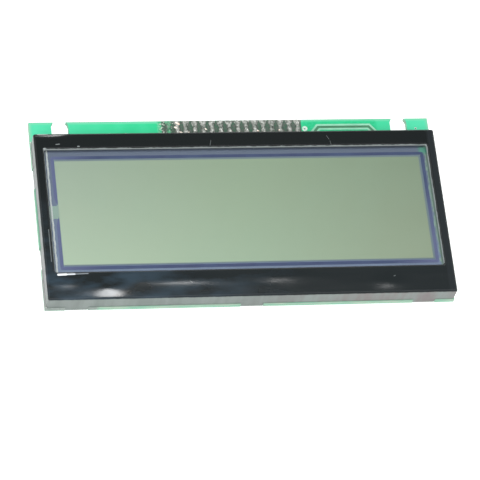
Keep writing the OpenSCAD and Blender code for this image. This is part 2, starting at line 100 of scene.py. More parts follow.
class Graph:
    """A material's node tree, with short calls for the nodes that the finishes share.

    Lengths that a call takes are in metres, and the tree reads places in the row's frame.
    """

    def __init__(self, name: str) -> None:
        """Starts an empty material.

        Args:
            name: Name of the material.
        """
        self.material = bpy.data.materials.new(name)
        self.material.use_nodes = True
        self.tree = self.material.node_tree
        self.tree.nodes.clear()
        self.place = self.add("ShaderNodeTexCoord", {}).outputs["Object"]
        self.normal = self.add("ShaderNodeNewGeometry", {}).outputs["Normal"]
        axes = self.add("ShaderNodeSeparateXYZ", {0: self.place})
        self.x, self.y, self.z = axes.outputs

    def add(
        self, kind: str, sockets: Mapping[Union[str, int], object], **settings: object
    ) -> bpy.types.Node:
        """Adds one node.

        Args:
            kind: Blender's name for the node's type.
            sockets: What each input takes: another node's output, or a plain value.
            **settings: The node's own properties.

        Returns:
            The node.
        """
        node = self.tree.nodes.new(kind)
        for name, value in settings.items():
            setattr(node, name, value)
        for key, value in sockets.items():
            if isinstance(value, Socket):
                self.tree.links.new(value, node.inputs[key])
            else:
                node.inputs[key].default_value = value
        return node

    def sum(self, kind: str, first: object, second: object = 0.0) -> Socket:
        """One step of arithmetic.

        Args:
            kind: The Math node's operation.
            first: First number or output.
            second: Second number or output.

        Returns:
            The result's output.
        """
        return self.add("ShaderNodeMath", {0: first, 1: second}, operation=kind).outputs[0]

    def between(self, value: Socket, low: float, high: float, to: Point = (0.0, 1.0)) -> Socket:
        """Spreads a value's range over another, clamped at both ends.

        Args:
            value: The value.
            low: Value that gives the first result.
            high: Value that gives the second result.
            to: The two results.

        Returns:
            The result's output.
        """
        sockets = {0: value, 1: low, 2: high, 3: to[0], 4: to[1]}
        return self.add("ShaderNodeMapRange", sockets, clamp=True).outputs[0]

    def noise(self, size: float, detail: float = 2.0, stretch: Sequence[float] = (1, 1, 1)) -> Socket:
        """A cloudy value that stays mostly between 0.3 and 0.7.

        Args:
            size: Rough size of a cloud.
            detail: How many finer layers it has.
            stretch: How much longer the clouds are along X, Y and Z.

        Returns:
            The value's output.
        """
        scale = tuple(1 / (size * share) for share in stretch)
        place = self.add("ShaderNodeMapping", {0: self.place, "Scale": scale})
        sockets = {"Vector": place.outputs[0], "Scale": 1.0, "Detail": detail}
        return self.add("ShaderNodeTexNoise", sockets).outputs[0]

    def blend(self, share: object, first: object, second: object) -> Socket:
        """Mixes two colours.

        Args:
            share: Share of the second colour.
            first: A colour or an output.
            second: A colour or an output.

        Returns:
            The mixed colour's output.
        """
        def ready(colour: object) -> object:
            """The colour with its alpha, or the output as it is."""
            return opaque(colour) if isinstance(colour, tuple) else colour

        sockets = {0: share, 6: ready(first), 7: ready(second)}
        return self.add("ShaderNodeMix", sockets, data_type="RGBA").outputs[2]

    def inside(self, low: Point, high: Point, soft: float) -> Socket:
        """One inside an upright rectangle, zero outside it.

        Args:
            low: Its lowest X and Y.
            high: Its highest X and Y.
            soft: Width of the soft edge.

        Returns:
            The mask's output.
        """
        masks = []
        for value, near, far in ((self.x, low[0], high[0]), (self.y, low[1], high[1])):
            masks.append(self.between(value, near - soft / 2, near + soft / 2))
            masks.append(self.between(value, far + soft / 2, far - soft / 2))
        across = self.sum("MINIMUM", masks[0], masks[1])
        along = self.sum("MINIMUM", masks[2], masks[3])
        return self.sum("MULTIPLY", across, along)

    def relief(self, height: Socket, depth: float, under: Union[Socket, None] = None) -> Socket:
        """Turns a height into a bumped normal.

        Args:
            height: The height, from 0 to 1.
            depth: Real height of 1.
            under: A bumped normal to start from.

        Returns:
            The normal's output.
        """
        sockets = {"Height": height, "Distance": depth, "Strength": 1.0}
        if under is not None:
            sockets["Normal"] = under
        return self.add("ShaderNodeBump", sockets).outputs[0]

    def up(self) -> Socket:
        """How far a face looks up: one for a level face, zero for a wall."""
        return self.add("ShaderNodeSeparateXYZ", {0: self.normal}).outputs[2]

    def away(self, value: Socket, line: float) -> Socket:
        """Distance of a value from a line, on either side of it."""
        return self.sum("ABSOLUTE", self.sum("SUBTRACT", value, line))

    def close(self, shader: Socket) -> Material:
        """Sends the shader to the surface.

        Args:
            shader: The shader's output.

        Returns:
            The finished material.
        """
        self.add("ShaderNodeOutputMaterial", {"Surface": shader})
        return self.material

    def principled(self, sockets: Mapping[str, object]) -> Material:
        """The finished material, with a Principled shader that takes the given sockets."""
        return self.close(self.add("ShaderNodeBsdfPrincipled", sockets).outputs[0])


@dataclass(frozen=True)
class Mottled:
    """A finish whose colour, roughness and height wander a little over the surface.

    Attributes:
        name: Name of the material.
        base: Main colour.
        cloud: Colour that it wanders to.
        cloud_size: Size of the clouds of colour.
        grain_size: Size of the fine bumps.
        grain_depth: Height of the fine bumps.
        rough: Lowest and highest roughness.
        metallic: One for bare metal, zero for anything else.
        coat: Weight of a clear coat.
        specular: Strength of the plain reflection.
        glow: Light that the surface gives off by itself.
    """

    name: str
    base: Colour
    cloud: Colour
    cloud_size: float = 4 * MM
    grain_size: float = 0.4 * MM
    grain_depth: float = 0.01 * MM
    rough: tuple[float, float] = (0.35, 0.55)
    metallic: float = 0.0
    coat: float = 0.0
    specular: float = 0.5
    glow: float = 0.0

    def build(self) -> Material:
        """The finish as a material."""
        graph = Graph(self.name)
        clouds = graph.between(graph.noise(self.cloud_size, 3), 0.35, 0.65)
        grain = graph.noise(self.grain_size, 3)
        return graph.principled({
            "Base Color": graph.blend(clouds, self.base, self.cloud),
            "Roughness": graph.between(grain, 0.3, 0.7, self.rough),
            "Metallic": self.metallic,
            "Coat Weight": self.coat,
            "Specular IOR Level": self.specular,
            "Emission Color": (1.0, 1.0, 1.0, 1.0),
            "Emission Strength": self.glow,
            "Normal": graph.relief(grain, self.grain_depth),
        })


@dataclass(frozen=True)
class Patch:
    """A rectangle of the board with a colour of its own.

    Attributes:
        low: Its lowest X and Y.
        high: Its highest X and Y.
        colour: Its main colour.
        colour_far: The colour that it wanders to.
        soft: Width of its soft edge.
        cloud_size: Size of the clouds of colour.
    """

    low: Point
    high: Point
    colour: Colour
    colour_far: Colour
    soft: float = 0.3 * MM
    cloud_size: float = 0.7 * MM

    def over(self, graph: Graph, under: Socket, where: Socket) -> Socket:
        """Lays the patch over a colour.

        Args:
            graph: The tree to add it to.
            under: The colour's output.
            where: One at the heights that it covers, zero at the others.

        Returns:
            The new colour's output.
        """
        clouds = graph.between(graph.noise(self.cloud_size, 3), 0.4, 0.6)
        own = graph.blend(clouds, self.colour, self.colour_far)
        share = graph.sum("MULTIPLY", graph.inside(self.low, self.high, self.soft), where)
        return graph.blend(share, under, own)


@dataclass(frozen=True)
class SolderMask:
    """Green lacquer over a glass-epoxy board, whose cut edges stay pale and fibrous.

    Attributes:
        half_size: Half the board's length and depth.
        middle: Height of the board's middle layer.
        patches: Places on its front with a colour of their own.
        grey_corner: Corner where the cut laminate is greyer.
        bright: Lacquer over a copper plane.
        bright_far: The same lacquer where it lies thinner.
        pale: Lacquer towards the board's two ends.
        ends_from: Share of the half length from which it pales.
        thin: Lacquer in the thin band along the outline.
        thin_band: Width of the thin band.
        thin_soft: Width of that band's soft edge.
        edge: Cut laminate.
        edge_far: Cut laminate where lacquer has run over it.
        pull_back: Width of the strip along the outline that the lacquer leaves bare.
        bare_soft: Width of that strip's soft edge.
        front_from: Heights over the middle layer between which the patches begin.
        grey_from: Heights over the middle layer between which that grey begins.
    """

    half_size: Point
    middle: float
    patches: tuple[Patch, ...]
    grey_corner: Patch
    bright: Colour = paint(24, 172, 117)
    bright_far: Colour = paint(50, 184, 133)
    pale: Colour = paint(70, 186, 146)
    ends_from: float = 0.6
    thin: Colour = paint(96, 182, 146)
    thin_band: float = 0.75 * MM
    thin_soft: float = 0.6 * MM
    edge: Colour = paint(150, 168, 152)
    edge_far: Colour = paint(110, 160, 138)
    pull_back: float = 0.16 * MM
    bare_soft: float = 0.12 * MM
    front_from: Point = mm(-0.1, 0.1)
    grey_from: Point = mm(-0.75, -0.65)

    def within(self, graph: Graph, inset: float, soft: float) -> Socket:
        """One on the board further in than an inset with a soft edge, zero along its outline."""
        x, y = (half - inset for half in self.half_size)
        return graph.inside((-x, -y), (x, y), soft)

    def above(self, graph: Graph, span: Point) -> Socket:
        """One higher than a span of heights over the middle layer, zero lower down."""
        return graph.between(graph.z, self.middle + span[0], self.middle + span[1])

    def build(self) -> Material:
        """The finish as a material."""
        graph = Graph("board_lacquer")
        clouds = graph.between(graph.noise(9 * MM, 3), 0.3, 0.7)
        lacquer = graph.blend(clouds, self.bright, self.bright_far)
        half = self.half_size[0]
        ends = graph.between(graph.sum("ABSOLUTE", graph.x), self.ends_from * half, half)
        lacquer = graph.blend(ends, lacquer, self.pale)
        lacquer = graph.blend(self.within(graph, self.thin_band, self.thin_soft), self.thin, lacquer)
        front = self.above(graph, self.front_from)
        for patch in self.patches:
            lacquer = patch.over(graph, lacquer, front)
        fibres = graph.between(graph.noise(1.2 * MM, 3, (6, 6, 0.5)), 0.35, 0.65)
        laminate = graph.blend(fibres, self.edge, self.edge_far)
        laminate = self.grey_corner.over(graph, laminate, self.above(graph, self.grey_from))
        flat = graph.between(graph.sum("ABSOLUTE", graph.up()), 0.4, 0.6)
        weave = graph.noise(0.5 * MM, 2, (3, 1, 1))
        share = graph.sum("MULTIPLY", self.within(graph, self.pull_back, self.bare_soft), flat)
        return graph.principled({
            "Base Color": graph.blend(share, laminate, lacquer),
            "Roughness": graph.between(share, 0, 1, (0.75, 0.35)),
            "Specular IOR Level": 0.2,
            "Normal": graph.relief(weave, 0.008 * MM),
        })


@dataclass(frozen=True)
class Dent:
    """A shallow wave in the bezel's face that catches the light.

    Attributes:
        at: Its middle.
        reach: How far it fades out along X and along Y.
        height: Its height, below zero for a hollow.
    """

    at: Point
    reach: Point
    height: float


@dataclass(frozen=True)
class ScratchAndGlint:
    """A fine line on the bezel's face: most are scratched lines through its lacquer, the bright ones are
    painted highlights.

    Attributes:
        start: One end.
        end: The other end.
        width: Its width.
        depth: How strong it is, from 0 to 1: how far a scratched line has gone through, how bright a painted
            highlight is.
        tone: Its colour: for a scratched line the sheet that shows in it, for a highlight its painted
            colour.
    """

    start: Point
    end: Point
    width: float = 0.2 * MM
    depth: float = 0.5
    tone: Colour = paint(142, 150, 150)

    def share(self, graph: Graph) -> Socket:
        """How much of the lacquer the line covers at a place.

        Args:
            graph: The tree to add it to.

        Returns:
            The share's output.
        """
        run = (self.end[0] - self.start[0], self.end[1] - self.start[1])
        square = run[0] ** 2 + run[1] ** 2
        x = graph.sum("SUBTRACT", graph.x, self.start[0])
        y = graph.sum("SUBTRACT", graph.y, self.start[1])
        dot = graph.sum("ADD", graph.sum("MULTIPLY", x, run[0]), graph.sum("MULTIPLY", y, run[1]))
        along = graph.between(dot, 0.0, square)
        off_x = graph.sum("SUBTRACT", x, graph.sum("MULTIPLY", along, run[0]))
        off_y = graph.sum("SUBTRACT", y, graph.sum("MULTIPLY", along, run[1]))
        off = graph.sum("SQRT", graph.sum(
            "ADD", graph.sum("MULTIPLY", off_x, off_x), graph.sum("MULTIPLY", off_y, off_y)))
        return graph.between(off, self.width / 2, self.width / 6, (0.0, self.depth))


@dataclass(frozen=True)
class BezelCoat:
    """Gloss black lacquer on a bezel's face, over a bare steel sheet.

    Attributes:
        dents: The single waves in the face.
        scratches_and_glints: Scratched lines in it, and painted highlights drawn the same way.
        window: Lowest and highest X and Y of the window.
        black: The lacquer below the window, lighter and bluer there as a painted reflection.
        black_far: The lacquer above the window.
        rise: Lowest and highest Y of the change from the first colour to the second.
        painted_haze: Mottled grey-blue haze on its lower left and along its left border, a painted
            reflection.
        haze_end: Where that haze has gone, along X.
        haze_length: How far to the left of that it is full.
        right_sheen: A little lighter on its right border, a painted reflection.
        steel: Bare sheet.
        steel_far: Bare sheet where it was rubbed.
        steel_warm: The same towards the lower right, where it has a slight stain.
        warm_span: Where that stain begins and is full, along the slant it follows.
        steel_left: Bare sheet of the left wall.
        left_wall: How far left of the window that wall's colour begins.
        lip: Bare sheet on the rolled lip around the window.
        lip_reach: How far outside the window the rolled lip begins.
        glint_end: Where the bare stretch at the lower lip's left end stops; that stretch is a painted
            highlight.
        coated: How far up a face looks where the lacquer begins and is full.
        glossy: How far up it looks where the gloss begins and is full.
        wave_depth: Height of the waves in the face, which lie below the window.
        wave_size: Size of the waves.
        wave_fade: Distance below the window over which they grow to their full height.
        wave_share: Share of their height above the window's lower edge, and in full.
    """

    dents: tuple[Dent, ...]
    scratches_and_glints: tuple[ScratchAndGlint, ...]
    window: tuple[Point, Point]
    black: Colour = paint(16, 23, 25)
    black_far: Colour = paint(5, 12, 13)
    rise: Point = mm(-20, 14)
    painted_haze: Colour = paint(38, 52, 62)
    haze_end: float = 16 * MM
    haze_length: float = 56 * MM
    right_sheen: Colour = paint(26, 32, 35)
    steel: Colour = paint(114, 122, 119)
    steel_far: Colour = paint(102, 110, 107)
    steel_warm: Colour = paint(109, 103, 103)
    warm_span: Point = mm(10, 50)
    steel_left: Colour = paint(122, 121, 124)
    left_wall: float = 2 * MM
    lip: Colour = paint(142, 150, 150)
    lip_reach: float = 0.72 * MM
    glint_end: float = -50.4 * MM
    coated: Point = (0.34, 0.46)
    glossy: Point = (0.9965, 0.9998)
    wave_depth: float = 0.12 * MM
    wave_size: float = 7 * MM
    wave_fade: float = 3 * MM
    wave_share: Point = (0.1, 0.8)

    def bare_lip(self, graph: Graph) -> Socket:
        """Where the rolled lip is bare: along its top and ends, and at the bottom's left end, where it is a
        painted highlight.

        Args:
            graph: The tree to add it to.

        Returns:
            The mask's output.
        """
        (left, bottom), (right, top) = self.window
        reach = self.lip_reach
        around = graph.inside((left - reach, bottom - reach), (right + reach, top + reach), 0.1 * MM)
        above = graph.between(graph.y, bottom + 0.1 * MM, bottom + 0.4 * MM)
        # Painted highlight: the lower lip's left end is left bare so that it shows light.
        glint = graph.between(graph.x, self.glint_end + 2 * MM, self.glint_end - 1 * MM)
        return graph.sum("MULTIPLY", around, graph.sum("MAXIMUM", above, glint))

    def colour(self, graph: Graph) -> Socket:
        """The lacquer with painted reflections: lighter and bluer below the window, a mottled grey-blue haze
        on its lower left and a lighter right border.

        Args:
            graph: The tree to add it to.

        Returns:
            The colour's output.
        """
        clouds = graph.between(graph.noise(14 * MM, 3), 0.35, 0.65, mm(-6, 6))
        x, y = (graph.sum("ADD", place, clouds) for place in (graph.x, graph.y))
        # Painted reflection: the lacquer turns lighter and bluer from above the window to below it.
        lacquer = graph.blend(graph.between(y, *self.rise), self.black, self.black_far)
        (left, bottom), (right, _) = self.window
        # Painted reflection: a mottled grey-blue haze below the window and along the left border, fading out
        # towards the right.
        below = graph.between(graph.y, bottom + 1 * MM, bottom - 1 * MM)
        beside = graph.between(graph.x, left - 0.3 * MM, left - 1 * MM)
        low_down = graph.between(y, 4 * MM, -12 * MM, (0.0, 0.45))
        below = graph.sum("MAXIMUM", below, graph.sum("MULTIPLY", beside, low_down))
        fade = graph.between(x, self.haze_end, self.haze_end - self.haze_length, (0.0, 0.95))
        patches = graph.between(graph.noise(4 * MM, 4, (2.5, 1, 1)), 0.38, 0.62)
        share = graph.sum("MULTIPLY", graph.sum("MULTIPLY", below, fade), patches)
        lacquer = graph.blend(share, lacquer, self.painted_haze)
        # Painted reflection: the border right of the window is a little lighter.
        right_sheen_share = graph.between(graph.x, right + 0.2 * MM, right + 1 * MM, (0.0, 0.8))
        lacquer = graph.blend(right_sheen_share, lacquer, self.right_sheen)
        for line_mark in self.scratches_and_glints:
            lacquer = graph.blend(line_mark.share(graph), lacquer, line_mark.tone)
        return lacquer

    def build(self) -> Material:
        """The finish as a material."""
        graph = Graph("bezel_coat")
        up = graph.up()
        ragged = graph.between(graph.noise(1.5 * MM, 3), 0.3, 0.7, (-0.1, 0.1))
        lip = self.bare_lip(graph)
        early = graph.sum("SUBTRACT", graph.sum("ADD", up, ragged), graph.sum("MULTIPLY", lip, 0.36))
        coated = graph.between(early, *self.coated)
        gloss = graph.sum("MULTIPLY", coated, graph.between(up, *self.glossy))
        streaks = graph.between(graph.noise(2.2 * MM, 4, (1, 1, 6)), 0.35, 0.65)
        slant = graph.sum("ADD", graph.x, graph.sum("MULTIPLY", graph.y, -0.5))
        far = graph.blend(graph.between(slant, *self.warm_span), self.steel_far, self.steel_warm)
        left, bottom = self.window[0]
        wall_share = graph.between(graph.x, left - self.left_wall, left - self.left_wall - 0.5 * MM)
        wall = graph.blend(wall_share, self.steel, self.steel_left)
        sheet = graph.blend(lip, graph.blend(streaks, wall, far), self.lip)
        share = graph.between(graph.y, bottom, bottom - self.wave_fade, self.wave_share)
        height = graph.sum("MULTIPLY", graph.noise(self.wave_size, 2, (2.6, 1, 1)), share)
        for dent in self.dents:
            height = graph.sum("ADD", height, self.hump(graph, dent))
        faces = graph.relief(height, self.wave_depth)
        fine = graph.relief(graph.noise(0.7 * MM, 2), 0.005 * MM, faces)
        return graph.principled({
            "Base Color": graph.blend(coated, sheet, self.colour(graph)),
            "Metallic": graph.between(coated, 0, 1, (0.55, 0.0)),
            "Roughness": graph.between(gloss, 0, 1, (0.5, 0.15)),
            "Specular IOR Level": 0.32,
            "Normal": fine,
        })

    @staticmethod
    def hump(graph: Graph, dent: Dent) -> Socket:
        """Height of one dent.

        Args:
            graph: The tree to add it to.
            dent: The dent.

        Returns:
            The height's output, as a share of the waves' depth.
        """
        across = graph.sum("DIVIDE", graph.sum("SUBTRACT", graph.x, dent.at[0]), dent.reach[0])
        along = graph.sum("DIVIDE", graph.sum("SUBTRACT", graph.y, dent.at[1]), dent.reach[1])
        square = graph.sum("ADD", graph.sum("MULTIPLY", across, across), graph.sum("MULTIPLY", along, along))
        fall = graph.sum("POWER", math.e, graph.sum("MULTIPLY", square, -1.0))
        return graph.sum("MULTIPLY", fall, dent.height)


@dataclass(frozen=True)
class Clear:
    """A clear sheet: light passes straight through, and its upper face mirrors a little.

    Attributes:
        name: Name of the material.
        tint: Share of each colour that one face lets through.
        ior: How strongly it mirrors, as an index of refraction.
        rough: Roughness of the mirrored light.
        wave_size: Length of the gentle waves in the face.
        wave_depth: Height of the waves.
    """

    name: str
    tint: Colour
    ior: float = 1.0
    rough: float = 0.05
    wave_size: float = 12 * MM
    wave_depth: float = 0.0

    def build(self) -> Material:
        """The finish as a material."""
        graph = Graph(self.name)
        through = graph.add("ShaderNodeBsdfTransparent", {"Color": opaque(self.tint)}).outputs[0]
        if self.ior <= 1:
            return graph.close(through)
        waves = graph.relief(graph.noise(self.wave_size, 3), self.wave_depth)
        sockets = {"Color": (1, 1, 1, 1), "Roughness": self.rough, "Normal": waves}
        gloss = graph.add("ShaderNodeBsdfGlossy", sockets).outputs[0]
        share = graph.add("ShaderNodeFresnel", {"IOR": self.ior, "Normal": waves}).outputs[0]
        mixed = graph.add("ShaderNodeMixShader", {0: share, 1: through, 2: gloss}).outputs[0]
        return graph.close(mixed)


@dataclass(frozen=True)
class Field:
    """The display's grey-green field and the bluish border around it.

    Attributes:
        low: Lowest X and Y of the field.
        high: Highest X and Y of the field.
        edge_line: X of the bright line along the glass's left edge, a painted highlight.
        upper: Colours along the field's upper edge, from left to right.
        lower: Colours along its lower edge, from left to right; with the upper ones they grow deeper from
            lower left to upper right, as painted sheen.
        border: Colour outside it.
        glue: Colour in the filling gap, left of it.
        bright: Colour of that painted highlight at the glass's edge.
        bright_reach: Distances from that line at which its colour is gone, and is full.
        cloud: Colour of the faint clouds in the field.
        soft: Width of the field's soft edge.
    """

    low: Point
    high: Point
    edge_line: float
    upper: tuple[Colour, Colour, Colour] = (paint(174, 192, 173), paint(165, 186, 158), paint(150, 170, 145))
    lower: tuple[Colour, Colour, Colour] = (paint(196, 216, 191), paint(180, 203, 176), paint(165, 180, 154))
    border: Colour = paint(124, 142, 152)
    glue: Colour = paint(158, 184, 174)
    bright: Colour = paint(214, 222, 222)
    bright_reach: Point = mm(0.3, 0.2)
    cloud: Colour = paint(170, 202, 183)
    soft: float = 0.35 * MM

    def across(self, graph: Graph, colours: tuple[Colour, Colour, Colour]) -> Socket:
        """Blends three colours from the field's left end to its right end.

        Args:
            graph: The tree to add it to.
            colours: The colours at the left end, in the middle and at the right end.

        Returns:
            The colour's output.
        """
        middle = (self.low[0] + self.high[0]) / 2
        left = graph.blend(graph.between(graph.x, self.low[0], middle), colours[0], colours[1])
        return graph.blend(graph.between(graph.x, middle, self.high[0]), left, colours[2])

    def build(self) -> Material:
        """The finish as a material."""
        graph = Graph("display_field")
        # Painted sheen: the field pales towards its lower left and deepens towards its upper right.
        drop = graph.between(graph.y, self.high[1], self.low[1])
        own = graph.blend(drop, self.across(graph, self.upper), self.across(graph, self.lower))
        clouds = graph.between(graph.noise(11 * MM, 4), 0.3, 0.7, (0.0, 0.09))
        own = graph.blend(clouds, own, self.cloud)
        gap = graph.between(graph.x, self.low[0] + 0.2 * MM, self.low[0] - 0.2 * MM)
        around = graph.blend(gap, self.border, self.glue)
        # Painted highlight: a bright line along the glass's left edge.
        line = graph.between(graph.away(graph.x, self.edge_line), *self.bright_reach)
        around = graph.blend(line, around, self.bright)
        return graph.principled({
            "Base Color": graph.blend(graph.inside(self.low, self.high, self.soft), around, own),
            "Roughness": graph.between(graph.noise(5 * MM, 3), 0.3, 0.7, (0.55, 0.7)),
            "Specular IOR Level": 0.2,
            "Normal": graph.relief(graph.noise(0.3 * MM, 2), 0.002 * MM),
        })


@dataclass(frozen=True)
class FilmMargin:
    """Bluish-grey film seen through the rear glass, outside the seal.

    Attributes:
        centre: The window's middle.
        name: Name of the material.
        upper: Colour above the field.
        lower: Colour below the field.
        half_height: How far above and below the middle each is full.
        cloud: Colour of the faint clouds.
        flare: Green light that gathers in the upper right corner.
        flare_at: Middle of that corner, from the window's middle.
        flare_reach: Half the size of the flare.
        flare_soft: Width of its soft edge.
        right_edge: Pale green-white colour along the right end, a painted reflection.
        right_at: Where that colour begins, from the window's middle.
        left_edge: Bright colour along the left end, a painted highlight.
        left_at: Middle of that bright strip, from the window's middle.
        left_width: Width of that bright strip.
    """

    centre: Point
    name: str = "glass_over_film"
    upper: Colour = paint(104, 117, 140)
    lower: Colour = paint(126, 143, 174)
    half_height: float = 18 * MM
    cloud: Colour = paint(104, 118, 140)
    flare: Colour = paint(84, 160, 138)
    flare_at: Point = mm(55.6, 18.4)
    flare_reach: Point = mm(1.6, 1.1)
    flare_soft: float = 1.2 * MM
    right_edge: Colour = paint(142, 172, 160)
    right_at: float = 55.4 * MM
    left_edge: Colour = paint(214, 222, 222)
    left_at: float = -55.2 * MM
    left_width: float = 0.42 * MM

    def build(self) -> Material:
        """The finish as a material."""
        graph = Graph(self.name)
        x, y = self.centre
        rise = graph.between(graph.y, y - self.half_height, y + self.half_height)
        body = graph.blend(rise, self.lower, self.upper)
        clouds = graph.between(graph.noise(6 * MM, 3, (3, 1, 1)), 0.35, 0.65, (0.0, 0.25))
        body = graph.blend(clouds, body, self.cloud)
        ragged = graph.between(graph.noise(0.8 * MM, 3, (1, 2, 1)), 0.35, 0.65, mm(-0.35, 0.35))
        # Painted reflection: a pale green-white band with a ragged edge along the right end.
        right = x + self.right_at
        share = graph.between(graph.sum("ADD", graph.x, ragged), right - 0.1 * MM, right + 0.2 * MM)
        body = graph.blend(share, body, self.right_edge)
        # Painted highlight: a bright strip along the left end.
        place = graph.sum("ADD", graph.x, graph.sum("MULTIPLY", ragged, 0.25))
        half = self.left_width / 2
        share = graph.between(graph.away(place, x + self.left_at), half + 0.1 * MM, half)
        body = graph.blend(share, body, self.left_edge)
        x, y = x + self.flare_at[0], y + self.flare_at[1]
        reach_x, reach_y = self.flare_reach
        flare = graph.inside((x - reach_x, y - reach_y), (x + reach_x, y + reach_y), self.flare_soft)
        body = graph.blend(flare, body, self.flare)
        return graph.principled({
            "Base Color": body,
            "Roughness": graph.between(graph.noise(3 * MM, 2), 0.3, 0.7, (0.3, 0.45)),
            "Specular IOR Level": 0.3,
            "Normal": graph.relief(graph.noise(2 * MM, 2), 0.01 * MM),
        })


@dataclass(frozen=True)
class SealFinish:
    """Violet-blue seal epoxy that shows through the glass, paler towards its two ends.

    Attributes:
        deep: Colour where it is thick.
        pale: Colour where it is thin.
        ends: Paler colour near the left end and the lower right corner.
        half_length: Distance from the middle to each end.
        fade: Distance over which the ends' colour fades out.
        drop: Y at which the right end's colour begins, and is full.
    """

    deep: Colour = paint(58, 72, 116)
    pale: Colour = paint(74, 90, 130)
    ends: Colour = paint(106, 115, 158)
    half_length: float = 56 * MM
    fade: float = 15 * MM
    drop: Point = mm(8, -12)

    def build(self) -> Material:
        """The finish as a material."""
        graph = Graph("seal_epoxy")
        clouds = graph.between(graph.noise(3 * MM, 3, (3, 3, 1)), 0.35, 0.65)
        body = graph.blend(clouds, self.deep, self.pale)
        left = graph.between(graph.x, self.fade - self.half_length, -self.half_length)
        right = graph.between(graph.x, self.half_length - self.fade, self.half_length)
        right = graph.sum("MULTIPLY", right, graph.between(graph.y, *self.drop))
        share = graph.sum("MAXIMUM", left, right)
        return graph.principled({
            "Base Color": graph.blend(share, body, self.ends),
            "Roughness": graph.between(clouds, 0, 1, (0.4, 0.6)),
            "Specular IOR Level": 0.3,
            "Normal": graph.relief(graph.noise(0.8 * MM, 2), 0.01 * MM),
        })


Finish = Union[Mottled, SolderMask, BezelCoat, Clear, Field, FilmMargin, SealFinish]


# ---- Pieces ----


def new_piece(
    name: str,
    mesh: Mesh,
    finishes: Sequence[Material],
    replaces: Sequence[str] = (),
    smooth_deg: float = 40.0,
) -> bpy.types.Object:
    """Turns a mesh into a piece of the module.

    Args:
        name: Name of the piece.
        mesh: Its mesh, which is freed.
        finishes: Materials, in the order that its faces name them.
        replaces: Solids that it stands for.
        smooth_deg: Sharpest angle that is shaded smooth.

    Returns:
        The new object.
    """
    bmesh.ops.recalc_face_normals(mesh, faces=mesh.faces)
    for face in mesh.faces:
        face.smooth = True
    for edge in mesh.edges:
        edge.smooth = len(edge.link_faces) == 2 and edge.calc_face_angle(0.0) < math.radians(smooth_deg)
    data = bpy.data.meshes.new(name)
    mesh.to_mesh(data)
    mesh.free()
    for finish in finishes:
        data.materials.append(finish)
    piece = bpy.data.objects.new(name, data)
    bpy.context.scene.collection.objects.link(piece)
    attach(piece, "root")
    if replaces:
        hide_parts(*replaces)
    LOG.info("piece %s: %d faces", name, len(data.polygons))
    return piece


def dress(finish: Finish, *nodes: str) -> None:
    """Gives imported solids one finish.

    Args:
        finish: The finish.
        *nodes: Names of the solids' nodes.
    """
    material = finish.build()
    for node in nodes:
        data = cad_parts[node].data
        data.materials.clear()
        data.materials.append(material)
        LOG.info("solid %s: %s", node, material.name)


def skin(mesh: Mesh, rings: Sequence[Sequence[bmesh.types.BMVert]], finish: int = 0) -> None:
    """Joins each ring of points to the next one with faces.

    Args:
        mesh: The mesh to add to.
        rings: The rings, all with as many points.
        finish: Index of the faces' material.
    """
    for low, high in zip(rings, rings[1:]):
        for k in range(len(low)):
            j = (k + 1) % len(low)
            mesh.faces.new((low[k], low[j], high[j], high[k])).material_index = finish


def ribbon(points: Sequence[Point], width: float) -> list[Point]:
    """Outline of a track of even width with mitred corners.

    Args:
        points: The track's middle line.
        width: Its width.

    Returns:
        The outline, counter-clockwise.
    """
    line = [Vector(p) for p in points]
    left, right = [], []
    for i, here in enumerate(line):
        before = (here - line[i - 1]).normalized() if i else (line[1] - here).normalized()
        after = (line[i + 1] - here).normalized() if i + 1 < len(line) else before
        normal = Vector((-before.y, before.x)) + Vector((-after.y, after.x))
        normal *= width / normal.length_squared
        left.append(tuple(here + normal))
        right.append(tuple(here - normal))
    return right + left[::-1]


def circle(radius: float, height: float, segments: int) -> list[Vector]:
    """Points around an upright axis.

    Args:
        radius: Their distance from it.
        height: Their height.
        segments: Number of points.

    Returns:
        The points.
    """
    angles = (2 * math.pi * k / segments for k in range(segments))
    return [Vector((radius * math.cos(angle), radius * math.sin(angle), height)) for angle in angles]


def turned(
    mesh: Mesh, profile: Sequence[Point], at: Vector, segments: int = 24,
    shape: Callable[[Vector], Vector] = lambda place: place,
) -> None:
    """Adds a closed body of revolution about an upright axis.

    Args:
        mesh: The mesh to add to.
        profile: Radius and height of each ring, from one end to the other.
        at: Foot of the axis.
        segments: Number of faces around.
        shape: Moves each point from its round place to its real one.
    """
    rings = []
    for radius, height in profile:
        places = (at + place for place in circle(radius, height, segments))
        rings.append([mesh.verts.new(shape(place)) for place in places])
    skin(mesh, rings)
    mesh.faces.new(rings[0][::-1])
    mesh.faces.new(rings[-1])


def washer(mesh: Mesh, section: Sequence[Point], at: Vector, segments: int) -> None:
    """Adds a ring turned about an upright axis.

    Args:
        mesh: The mesh to add to.
        section: Radius and height of each corner of the ring's section.
        at: Foot of the axis.
        segments: Number of faces around.
    """
    sides = [circle(radius, height, segments) for radius, height in section]
    rounds = [[mesh.verts.new(at + side[k]) for side in sides] for k in range(segments)]
    skin(mesh, [*rounds, rounds[0]])


def wander(place: Vector, size: float, amount: float, seed: float) -> Vector:
    """Moves a point by smooth noise.

    Args:
        place: The point.
        size: Size of the noise.
        amount: Furthest that it moves along each axis.
        seed: Picks another pattern.

    Returns:
        The moved point.
    """
    return place + amount * noise.noise_vector(place / size + Vector((seed, 0, 0)))


